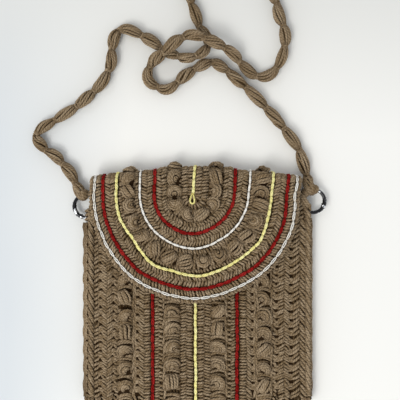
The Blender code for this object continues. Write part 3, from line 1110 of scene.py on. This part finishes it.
# %% The front's rows
FRONT_ROWS = (
    # from, to, lean, start, legs a stitch, close at the left, close at the right
    (-93.2, -88.0, 3.4, 0.0, 2, 0.1, 1.0),
    (-87.0, -81.4, -4.2, 0.0, 3, 1.1, 0.0),
    (-82.0, -76.2, 4.2, 3.9, 3, 0.0, 1.1),
    (-75.6, -72.0, -2.6, 3.9, 2, 1.0, 0.0),
    (-59.2, -58.0, 9.4, 1.0, 1, 0.0, 0.0),
    (-57.4, -56.2, -9.4, 5.0, 1, 0.0, 0.0),
    (-53.8, -48.0, -4.2, 1.0, 3, 1.1, 0.1),
    (-48.6, -43.3, 0.8, 0.0, 3, 0.2, 0.2),
    (-39.6, -35.2, 0.8, 0.0, 3, 0.2, 0.5),
    (-35.8, -31.6, -1.0, 2.0, 2, 0.4, 0.6),
    (-31.4, -30.2, 9.4, 0.0, 1, 0.0, 0.0),
    (-17.2, -11.3, 1.6, 0.0, 3, 0.5, 0.3),
    (-11.9, -6.0, -1.0, 2.0, 3, 0.5, 0.4),
    (-2.0, 4.3, 1.2, 0.0, 3, 0.4, 0.5),
    (3.9, 10.2, -1.2, 1.5, 3, 0.5, 0.4),
    (22.8, 24.0, -9.4, 1.5, 1, 0.0, 0.0),
    (24.4, 28.2, -0.8, 0.0, 2, 0.5, 0.4),
    (27.6, 31.6, 0.8, 2.0, 3, 0.5, 0.2),
    (35.4, 41.5, 0.4, 0.0, 3, 0.1, 0.1),
    (41.2, 46.0, -5.0, 0.0, 3, 0.1, 1.1),
    (48.2, 49.4, 9.4, 0.0, 1, 0.0, 0.0),
    (50.2, 51.4, -9.4, 3.9, 1, 0.0, 0.0),
    (62.8, 64.0, 9.4, 2.0, 1, 0.0, 0.0),
    (64.6, 67.2, -2.4, 0.0, 2, 0.1, 1.0),
    (68.8, 74.8, 3.4, 0.0, 3, 1.1, 0.0),
    (74.4, 79.8, -4.6, 0.0, 3, 0.0, 1.1),
    (81.2, 88.8, 5.6, 0.0, 2, 1.0, 0.4),
    (88.4, 94.6, -7.4, 2.0, 2, 0.7, 0.7),
)
FRONT_BOBBLES = (
    # x, start, lean of a straight bundle, turn of a bent one
    (-66.2, 10.6, 0.45, 2.4),
    (-24.4, 14.5, 0.50, 2.2),
    (16.3, 14.5, -0.20, 1.0),
    (57.2, 10.6, -0.30, 0.9),
)
FRONT_HOLES = (
    # x, first hole over the bottom
    (-87.3, 1.9),
    (-75.9, 5.6),
    (-54.9, 3.1),
    (47.1, 5.3),
    (67.9, 6.3),
    (80.4, 5.8),
)
HOLE_CLEAR = 1.3
SLOPE_STRANDS = (0.9, 3.1, 5.3)
# Strands along the slope by the right ring: where they start, how far they run, the step inward
SLOPE_X = (91.0, 7.6, 0.8)
SLOPE_Y = (79.0, 10.4, 0.6)
PANEL_INSET = {"front": 2.3, "back": 2.5, "flap": 2.3}
UNDER_INSET = 0.4
HOLE_HALF = 2.4
HOLE_BRIDGES = (2.1, 3.9, 5.7)
BOBBLE_PITCH = 2.0 * STITCH
BOBBLE_CREST = 0.9
CROSSING_PITCH = 2.4
CROSSING_HALF = 7.0
CROSSING_YARN = 1.25
print("front rows:", len(FRONT_ROWS), "bobble columns:", len(FRONT_BOBBLES))

# %% The front's strands


def front_strands():
    """Every taupe strand of the front, on flat cloth."""
    made = []
    for near, far, lean, start, group, close_near, close_far in FRONT_ROWS:
        begin = PANEL_BOTTOM + start - STITCH
        for strand in row_of_legs(near, far, begin, FRONT_MOUTH, lean, group, close_near, close_far):
            lowest = min(along for across, along, lift, radius in strand)
            if lowest > PANEL_BOTTOM - BOTTOM_REACH:
                made.append(strand)
    for x, start, lean, turn in FRONT_BOBBLES:
        count = int((FRONT_MOUTH - PANEL_BOTTOM - start) / BOBBLE_PITCH) + 1
        for step in range(count):
            kind, tilt = chance.choice(((bundle_point, lean), (bent_point, turn), (bent_point, turn)))
            y = PANEL_BOTTOM + start + BOBBLE_PITCH * step + uneven(0.5)
            made += bobble(x + uneven(0.6), y, tilt + uneven(0.4), kind, BOBBLE_CREST)
        for step in range(-2, int((FRONT_MOUTH - PANEL_BOTTOM) / CROSSING_PITCH)):
            y = PANEL_BOTTOM + CROSSING_PITCH * (step + 0.5)
            start = (x - CROSSING_HALF, y + uneven(1.6))
            stop = (x + CROSSING_HALF, y + uneven(1.6))
            made.append(leg(start, stop, CROSSING_YARN, 1.8 + uneven(1.2), -1.2, -0.7))
    for x, first in FRONT_HOLES:
        for step in range(int((FRONT_MOUTH - PANEL_BOTTOM - first) / STITCH)):
            for rise in HOLE_BRIDGES:
                y = PANEL_BOTTOM + first + STITCH * step + rise + uneven(0.2)
                start = (x - HOLE_HALF, y + uneven(0.4))
                stop = (x + HOLE_HALF, y + uneven(0.4))
                made.append(leg(start, stop, CROSSING_YARN, 0.0, -1.9, -1.3))
    return made


def front_under_strands():
    """Strands along the front under its rows, with the hole columns left out."""
    made = []
    x = 1.4 - PANEL_HALF
    while x < PANEL_HALF - 1.0:
        if min(abs(x - hole) for hole, first in FRONT_HOLES) > HOLE_CLEAR:
            made.append(under_strand(x, PANEL_BOTTOM - BOTTOM_REACH, FRONT_MOUTH))
        x += UNDER_PITCH
    return made


def corner_strands():
    """Strands along the slope that is left free for the right ring."""
    made = []
    for inward in SLOPE_STRANDS:
        strand = []
        for share in shares(LEG_STEPS):
            x = SLOPE_X[0] + SLOPE_X[1] * share - SLOPE_X[2] * inward
            y = SLOPE_Y[0] - SLOPE_Y[1] * share - SLOPE_Y[2] * inward
            strand.append((Vector((x, y, FRONT_UNDER + CLOTH - 0.9 + uneven(0.15))), 1.2))
        made.append(strand)
    return made


front_yarn = yarn("front_yarn", lay(front_strands(), on_front) + corner_strands())
front_under = yarn("front_yarn_under", lay(front_under_strands(), on_front), TAUPE_PAINTED_SHADE)
front_inner = inner_cloth("front_panel", PANEL_INSET["front"], UNDER_INSET, lambda place: UP)

# %% [markdown]
# ## Back panel
# The back can't be seen on the photo. It is made plain: rows of slanted legs that meet in flat Vs. It lies on
# the floor, so its strands are kept above it.

# %% Back panel
BACK_ROW = 5.64
BACK_LEAN = 3.6
BACK_LOWEST = 1.25
BACK_LEGS = {"low": -2.2, "high": -1.4}
FOLD_SEAM = 89.15


def on_back(x, y, lift):
    """A place over the back panel, whose outer side faces down."""
    return Vector((*panel_place(x, y), max(-lift, BACK_LOWEST)))


def back_strands():
    """Slanted legs in alternating rows, and the strands under them."""
    rows = round(2.0 * PANEL_HALF / BACK_ROW)
    made = []
    for row in range(rows):
        near = -PANEL_HALF + 2.0 * PANEL_HALF * row / rows
        far = near + BACK_ROW
        lean = BACK_LEAN if row % 2 else -BACK_LEAN
        made += row_of_legs(near - 0.2, far + 0.2, PANEL_BOTTOM, FOLD_SEAM, lean, 3, 0.4, 0.1, **BACK_LEGS)
        made.append(under_strand(near + 1.4, PANEL_BOTTOM, FOLD_SEAM, -2.6))
        made.append(under_strand(near + 4.2, PANEL_BOTTOM, FOLD_SEAM, -2.6))
    return made


back_yarn = yarn("back_yarn", lay(back_strands(), on_back))
back_inner = inner_cloth("back_panel", PANEL_INSET["back"], UNDER_INSET, lambda place: -UP)

# %% [markdown]
# ## Joining edges
# The two panels are joined by yarn wrapped over their sides, stitch by stitch. Long strands run along the
# top of the wraps, and at both sides a braid of long slanted legs lies beside them. The wraps follow the
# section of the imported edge, so distances across it are shares of its depth: 0 at the bag's outline, 1 at
# the panel.

# %% Joining edges
HALF_WIDTH = {"left": 102.8, "right": 100.0}
BOTTOM = -107.2
CORNER_RADIUS = 6.0
EDGE_TOP = {"left": 54.0, "right": 58.0}
EDGE_YARN = 1.2
EDGE_PITCH = STITCH / 2.5
EDGE_WRAP = (
    # share of the depth, height
    (1.0, 10.6),
    (0.74, 12.0),
    (0.43, 11.7),
    (0.23, 9.6),
    (0.21, 5.2),
    (0.33, 2.2),
    (0.63, 1.4),
    (1.0, 1.5),
)
EDGE_LONG = {
    # shares of the depth and heights of the long strands on an edge
    "left": ((0.08, 8.8), (0.20, 10.3), (0.34, 11.0)),
    "right": ((0.12, 8.2),),
    "bottom": ((0.10, 8.6),),
}
EDGE_LONG_STEP = 4.0
EDGE_SCALLOP = 0.05
WRAP_LEAN = {"left": 3.0, "right": 3.0, "bottom": 2.6}
BOTTOM_MARGIN = 1.2
EDGE_SINK = {"left": 1.0, "right": 1.2, "bottom": 2.0}
SINK_FADE = (
    # distance from the middle, share of the sinking
    (86.0, 1.0),
    (92.0, 0.0),
)
BRAID = {"left": (0.44, 0.98), "right": (0.92, 0.26), "bottom": None}
BRAID_END = {"left": 65.0, "right": 66.0}
BRAID_LEG = 11.5
BRAID_PAIR = (2.6, 5.2)
BRAID_YARN = 0.98
BRAID_FOOT = 10.6
BRAID_ARCH = 2.2
# The wraps' first points, which sink with the edge's top
TOP_POINTS = 3
EDGE_INSET = 1.3


def side_edge_place(side):
    """Place a point of a side edge from its distance along, its share of the depth and its height."""
    depth = HALF_WIDTH[side] - PANEL_HALF

    def place(along, share, height):
        across = HALF_WIDTH[side] - depth * share
        return Vector((-across if side == "left" else across, along, height))

    return place


def bottom_edge_place(along, share, height):
    """Place a point of the bottom edge, whose two ends round off the bag's corners."""
    half = HALF_WIDTH["left" if along < 0.0 else "right"]
    past = min(max(abs(along) - (half - CORNER_RADIUS), 0.0), CORNER_RADIUS)
    rounding = CORNER_RADIUS - math.sqrt(CORNER_RADIUS * CORNER_RADIUS - past * past)
    depth = PANEL_BOTTOM - BOTTOM
    return Vector((along, BOTTOM + depth * share + rounding * max(1.0 - share, 0.0), height))


# %% The edges' strands


def edge_strands(begin, end, place, side):
    """Wraps over an edge, long strands along its top, and beside them the braid where it has one."""
    made = []
    count = round((end - begin) / EDGE_PITCH)
    for number in range(count):
        along = begin + (end - begin) * (number + 0.5) / count + uneven(0.3)
        bump = uneven(0.05)
        strand = []
        for step, (share, height) in enumerate(EDGE_WRAP):
            round_share = step / (len(EDGE_WRAP) - 1)
            spot = min(max(along + WRAP_LEAN[side] * (round_share - 0.3), begin + 1.0), end - 1.0)
            if step < TOP_POINTS:
                height -= EDGE_SINK[side] * (between(SINK_FADE, abs(spot)) if side == "bottom" else 1.0)
            strand.append((place(spot, share + bump * math.sin(math.pi * round_share), height), EDGE_YARN))
        made.append(strand)
    for share, height in EDGE_LONG[side]:
        strand = []
        steps = round((end - begin) / EDGE_LONG_STEP)
        for step in range(steps + 1):
            along = begin + (end - begin) * step / steps
            bulge = EDGE_SCALLOP * math.sin(along / STITCH * math.pi) + uneven(0.02)
            strand.append((place(along, share - bulge, height + uneven(0.2)), EDGE_YARN))
        made.append(strand)
    if BRAID[side]:
        upper, lower = BRAID[side]
        braid_end = BRAID_END[side]
        along = begin
        number = 0
        while along < braid_end:
            from_end = min(along + BRAID_LEG * 0.5 + uneven(0.4), braid_end)
            to_end = max(along - BRAID_LEG * 0.5 + uneven(0.4), begin + 1.0)
            proud = uneven(0.3)
            strand = []
            for part in shares(LEG_STEPS):
                arch = math.sin(math.pi * part)
                spot = from_end + (to_end - from_end) * part
                share = upper + (lower - upper) * part + uneven(0.02)
                height = BRAID_FOOT + (BRAID_ARCH + proud) * arch ** 0.6
                strand.append((place(spot, share, height), BRAID_YARN * (0.8 + 0.25 * arch)))
            made.append(strand)
            along += BRAID_PAIR[number % 2] + uneven(0.3)
            number += 1
    return made


for side in ("left", "right"):
    made = edge_strands(PANEL_BOTTOM, EDGE_TOP[side] - GAP, side_edge_place(side), side)
    yarn("edge_yarn_" + side, made)
bottom_end = HALF_WIDTH["right"] - BOTTOM_MARGIN
made = edge_strands(BOTTOM_MARGIN - HALF_WIDTH["left"], bottom_end, bottom_edge_place, "bottom")
yarn("edge_yarn_bottom", made)
for node in ("edge_left", "edge_right", "edge_bottom"):
    inner_cloth(node, EDGE_INSET)

# %% [markdown]
# ## Flap
# The flap is worked in a horseshoe: straight legs from the back seam over the fold, joined by half rounds.
# A place on it is a radius and a distance along the row, so the same rows of legs run round it, and the
# fold then bends whatever lies past the top of the bag.

# %% The flap's form
FLAP_X = -3.9
FLAP_Y = 77.1
FLAP_RIM = 91.6
FOLD_RADIUS = 11.15
FOLD_INNER = 7.15
FOLD_START = 89.45
FLAP_TOP = FOLD_START - FLAP_Y
FOLD_NARROWING = 0.09
FLAP_LEG = FLAP_TOP + FOLD_RADIUS * math.pi
# The flap's relief fades out round the fold, before it comes near the floor
RELIEF_END = math.radians(150.0)
RELIEF_FADE = math.radians(45.0)
RELIEF_LIMIT = 9.0
FLAT_DEPTH = 0.6
FLAT_SINK = 0.75
FLAP_RIBS = (
    # radius, rise
    (0.0, -0.4),
    (5.0, 0.6),
    (11.4, 0.0),
    (25.0, 0.0),
    (30.5, 0.9),
    (35.2, -0.5),
    (41.5, 1.0),
    (47.7, -0.5),
    (51.4, 0.0),
    (65.0, 0.0),
    (67.2, -0.5),
    (73.6, 1.0),
    (80.0, -0.5),
    (84.0, 0.9),
    (87.7, -0.4),
    (FLAP_RIM, -1.2),
)
FLAP_REACH = (
    # degrees, stretch
    (180.0, 1.0),
    (212.0, 0.998),
    (234.0, 1.016),
    (248.0, 1.004),
    (268.0, 1.017),
    (296.0, 0.993),
    (312.0, 1.006),
    (346.0, 1.004),
    (352.0, 0.995),
    (360.0, 0.990),
)
# The fold's top is crowned: how much further out it lies by distance from the flap's middle
FOLD_CROWN = (
    # distance, further out
    (0.0, 2.6),
    (25.0, 2.6),
    (40.0, -0.8),
    (58.0, -1.2),
    (75.0, -4.4),
    (FLAP_RIM, -5.8),
)
# The flap's legs lean above its round, by their height over it and their distance from its middle
FLAP_LEAN = (
    # distance, lean to the right
    (-FLAP_RIM, 0.054),
    (-80.0, 0.02),
    (-45.0, 0.0),
    (0.0, 0.02),
    (40.0, 0.08),
    (80.0, 0.16),
    (FLAP_RIM, 0.146),
)


def flap_form(x, y, height):
    """Bring a point of the flat flap to its lie: on the front's bobbles, then round the fold."""
    aside = x - FLAP_X
    bent = max(y - FOLD_START, 0.0) / FOLD_RADIUS
    radius = FOLD_INNER + height
    reach = radius + between(FOLD_CROWN, abs(aside))
    under = max(2.0 * bent / math.pi - 1.0, 0.0)
    place = Vector((
        FLAP_X + aside * (1.0 - FOLD_NARROWING * under),
        min(y, FOLD_START) + reach * math.sin(bent),
        FOLD_RADIUS + radius * math.cos(bent),
    ))
    place.x += between(FLAP_LEAN, aside) * max(place.y - FLAP_Y, 0.0)
    return place


def row_length(radius):
    """Length of a row of the flap from seam to seam."""
    return 2.0 * FLAP_LEG + math.pi * radius


INNER_PULL = (
    # share of the round, how far the inner rows are drawn in
    (0.0, 0.0),
    (0.15, 0.5),
    (0.30, 2.0),
    (0.50, 2.5),
    (0.65, 4.0),
    (0.80, 3.5),
    (0.90, 2.5),
    (1.0, 1.0),
)
PULL_REACH = (
    # radius, share of the pull
    (12.0, 0.0),
    (32.0, 1.0),
    (50.0, 1.0),
    (66.0, 0.0),
)


def flap_flat(radius, along, middle):
    """A flat point of the flap; along is measured on the row whose radius is middle."""
    round_length = math.pi * middle
    share = min(max((along - FLAP_LEG) / round_length, 0.0), 1.0)
    rise = max(FLAP_LEG - along, along - FLAP_LEG - round_length, 0.0)
    reach = radius * (1.0 + (between(FLAP_REACH, 180.0 + 180.0 * share) - 1.0) * radius / FLAP_RIM)
    reach -= between(INNER_PULL, share) * between(PULL_REACH, radius)
    turn = math.pi * (1.0 + share)
    return FLAP_X + reach * math.cos(turn), FLAP_Y + reach * math.sin(turn) + rise


def on_flap(middle):
    """A place function over the flap for one row; past the fold the strands keep off what the bag lies on."""
    def place(radius, along, lift):
        x, y = flap_flat(radius, along, middle)
        bent = max(y - FOLD_START, 0.0) / FOLD_RADIUS
        fade = min(max((RELIEF_END - bent) / RELIEF_FADE, 0.0), 1.0)
        rise = min(lift, RELIEF_LIMIT * fade - FLAT_DEPTH)
        height = CLOTH + fade * between(FLAP_RIBS, radius) + rise - FLAT_SINK * (1.0 - fade)
        return flap_form(x, y, height)
    return place


# %% The flap's rows
FLAP_ROWS = (
    # from, to, lean, legs a stitch, close inside, close outside
    (-1.4, 6.4, 0.8, 3, 0.0, 0.3),
    (6.0, 12.0, 1.4, 3, 0.3, 0.4),
    (24.4, 29.4, 1.8, 3, 0.4, 0.1),
    (28.9, 33.8, -1.6, 3, 0.1, 0.3),
    (36.6, 41.8, 2.2, 3, 0.3, 0.0),
    (41.2, 46.4, -2.4, 3, 0.0, 0.4),
    (49.0, 52.8, 1.4, 3, 0.4, 0.1),
    (63.4, 66.0, 0.8, 3, 0.2, 0.2),
    (68.6, 73.8, 2.4, 3, 0.4, 0.0),
    (73.2, 78.6, -2.6, 3, 0.0, 0.4),
    (81.4, 86.6, 2.2, 3, 0.3, 0.3),
    (88.6, 91.2, 1.0, 2, 0.1, 0.1),
)
FLAP_BANDS = (
    # radius, bobbles on the round
    (18.2, 4),
    (58.2, 12),
)
BAND_HALF = 6.4
SEAM_MARGIN = 0.5
FLAP_UNDER_INSET = 0.6

# %% The flap's strands


def flap_strands():
    """Every taupe strand of the flap."""
    made = []
    for near, far, lean, group, close_near, close_far in FLAP_ROWS:
        middle = (near + far) / 2.0
        end = row_length(middle) - SEAM_MARGIN
        row = row_of_legs(near, far, SEAM_MARGIN, end, lean, group, close_near, close_far)
        made += lay(row, on_flap(middle))
    for radius, bobbles in FLAP_BANDS:
        for step in range(int(row_length(radius) / CROSSING_PITCH)):
            spot = CROSSING_PITCH * (step + 0.5)
            start = (radius - BAND_HALF, spot + uneven(1.6))
            stop = (radius + BAND_HALF, spot + uneven(1.6))
            made += lay([leg(start, stop, CROSSING_YARN, uneven(1.0), -1.8, -1.0)], on_flap(radius))
    past_top = (FOLD_RADIUS * math.radians(15.0), FOLD_RADIUS * math.pi / 2.0)
    rises = (FLAP_TOP / 3.0, FLAP_TOP + past_top[0], FLAP_TOP + past_top[1])
    for radius, bobbles in FLAP_BANDS:
        spots = [FLAP_LEG - rise for rise in rises]
        spots += [FLAP_LEG + math.pi * radius * (step + 0.5) / bobbles for step in range(bobbles)]
        spots += [FLAP_LEG + math.pi * radius + rise for rise in rises]
        for spot in spots:
            kind = chance.choice((bundle_point, bent_point, bent_point))
            puffed = bobble(radius + uneven(0.5), spot + uneven(0.6), uneven(1.6), kind)
            made += lay(puffed, on_flap(radius))
    return made


def flap_under_strands():
    """Strands along the flap's rows, under them."""
    made = []
    radius = 1.5
    while radius < FLAP_RIM - 1.0:
        strand = under_strand(radius, SEAM_MARGIN, row_length(radius) - SEAM_MARGIN)
        made += lay([strand], on_flap(radius))
        radius += UNDER_PITCH
    return made


def flap_outward(place):
    """Which way the flap's outer side faces at a place of it."""
    return Vector((0.0, max(place.y - FOLD_START, 0.0), place.z - FOLD_RADIUS))


flap_yarn = yarn("flap_yarn", flap_strands())
flap_under = yarn("flap_yarn_under", flap_under_strands(), TAUPE_PAINTED_SHADE)
flap_inner = inner_cloth("flap", PANEL_INSET["flap"], FLAP_UNDER_INSET, flap_outward)

# %% The flap's rim
RIM_WRAP = (
    # radius, height over the underside
    (88.8, 3.3),
    (90.6, 3.0),
    (91.5, 1.9),
    (90.7, 0.9),
    (88.4, 0.9),
)
RIM_PITCH = 3.0
RIM_YARN = 1.15
RIM_LOWEST = 1.2


def rim_strands():
    """Short wraps over the flap's free edge."""
    length = row_length(FLAP_RIM)
    count = round(length / RIM_PITCH)
    made = []
    for number in range(count):
        along = length * (number + 0.5) / count + uneven(0.3)
        strand = []
        for step, (radius, height) in enumerate(RIM_WRAP):
            x, y = flap_flat(radius, along + 0.7 * step - 1.4, FLAP_RIM)
            place = flap_form(x, y, height)
            place.z = max(place.z, RIM_LOWEST)
            strand.append((place, RIM_YARN))
        made.append(strand)
    return made


rim_yarn = yarn("flap_rim_yarn", rim_strands())

# %% [markdown]
# ## Sewn chains
# Red, yellow and white yarn is sewn over the rows in chain stitch: two red lines and a yellow one down the
# front, and on the flap five half rounds and a short yellow line. A chain's links lie a little proud of the
# furrow between two rows. The yellow round wanders, so its radius is read from a short table.

# %% Sewn chains
RED_LINK = {"pitch": 7.2, "wide": 0.7, "thick": 0.8, "high": 0.5}
YELLOW_LINK = {"pitch": 5.8, "wide": 0.55, "thick": 0.8, "high": 0.7}
INNER_WHITE_LINK = {"pitch": 7.0, "wide": 0.4, "thick": 0.6, "high": 0.6}
OUTER_WHITE_LINK = {"pitch": 8.5, "wide": 0.75, "thick": 0.5, "high": 0.6}
CHAIN_WANDER = 0.3
CHAIN_MARGIN = 0.8
YELLOW_WANDER = (
    # share of the round, change of radius
    (0.0, 1.2),
    (0.10, 0.6),
    (0.18, -1.8),
    (0.26, -0.8),
    (0.33, 2.0),
    (0.42, -0.2),
    (0.53, 1.8),
    (0.62, 0.2),
    (0.72, -0.6),
    (0.80, 1.0),
    (0.90, -1.4),
    (1.0, -0.6),
)
CHAIN_BOTTOM = PANEL_BOTTOM - 3.0


def flap_chain(radius, link, wander=None):
    """A sewn chain along one row of the flap."""
    length = row_length(radius)

    def across(along):
        share = (along - FLAP_LEG) / (math.pi * radius)
        return radius + (between(wander, share) if wander else 0.0)

    links = chain(across, CHAIN_MARGIN, length - CHAIN_MARGIN, **link)
    return lay(links, on_flap(radius), CHAIN_WANDER)


def front_chain(x, link):
    """A sewn chain down the front."""
    return lay(chain(lambda y: x, CHAIN_BOTTOM, FRONT_MOUTH, **link), on_front, CHAIN_WANDER)


red_strands = front_chain(-41.1, RED_LINK) + front_chain(33.0, RED_LINK)
red_strands += flap_chain(35.2, RED_LINK) + flap_chain(80.0, RED_LINK)
yellow_strands = front_chain(-3.6, YELLOW_LINK) + flap_chain(67.2, YELLOW_LINK, YELLOW_WANDER)
white_strands = flap_chain(47.7, INNER_WHITE_LINK) + flap_chain(87.7, OUTER_WHITE_LINK)
print("strands of the chains so far:", len(red_strands), len(yellow_strands), len(white_strands))

# %% The flap's middle line
CENTRE_X = -5.9
CENTRE_END = FLAP_LEG - 1.5
DROP_YARN = 0.75
DROP_LIFT = 0.7
DROP = (
    # along past the line's end, half width
    (-1.0, 0.3),
    (1.5, 0.9),
    (4.0, 1.6),
    (6.0, 1.7),
    (7.6, 1.0),
    (8.2, 0.0),
)


def centre_line_place(aside, along, lift):
    """A place on the flap's straight middle line, along measured down from the seam."""
    height = CLOTH + min(lift, 0.12 * along - 1.4)
    slant = 2.6 * (1.0 - along / FLAP_LEG)
    return flap_form(CENTRE_X + slant + aside, FLAP_Y + FLAP_LEG - along, height)


centre_chain = chain(lambda along: 0.0, CHAIN_MARGIN, CENTRE_END, **YELLOW_LINK)
yellow_strands += lay(centre_chain, centre_line_place, CHAIN_WANDER)
drop = [(half, CENTRE_END + along, DROP_LIFT, DROP_YARN) for along, half in DROP]
drop += [(-half, CENTRE_END + along, DROP_LIFT, DROP_YARN) for along, half in reversed(DROP[:-1])]
yellow_strands += lay([drop], centre_line_place)

sewn = [
    yarn("red_chains", red_strands, RED, "red_yarn"),
    yarn("yellow_chains", yellow_strands, YELLOW, "yellow_yarn"),
    yarn("white_chains", white_strands, WHITE, "white_yarn"),
]

# %% [markdown]
# ## Bottom corners
# One more wrap at each bottom corner closes the gap between the side's first wrap and the bottom's last one.
# Its top lies a little lower, under the bottom's wraps. The two are made last, so that the strands before
# them keep their draws.

# %% Bottom corners
CORNER_WRAP = -102.2
CORNER_SINK = 1.2


def corner_wrap(side):
    """The wrap at one bottom corner."""
    place = side_edge_place(side)
    strand = []
    for step, (share, height) in enumerate(EDGE_WRAP):
        sink = CORNER_SINK if step < TOP_POINTS else 0.0
        strand.append((place(CORNER_WRAP, share, height - sink), EDGE_YARN))
    return strand


corners = [corner_wrap(side) for side in ("left", "right")]
yarn("edge_yarn_corners", corners)

# %% [markdown]
# ## The flap's flat area
# The two panels and the flap are sheets of crocheted cloth. Their flat sizes are those of the imported solids
# before the flap is folded; here the flap's area is worked out from its half round and its two straight legs.

# %% Sheets
FLAP_AREA = (math.pi * FLAP_RIM ** 2 / 2.0 + 2.0 * FLAP_RIM * FLAP_LEG) * MM * MM

print("flap cut area in m2:", round(FLAP_AREA, 4))
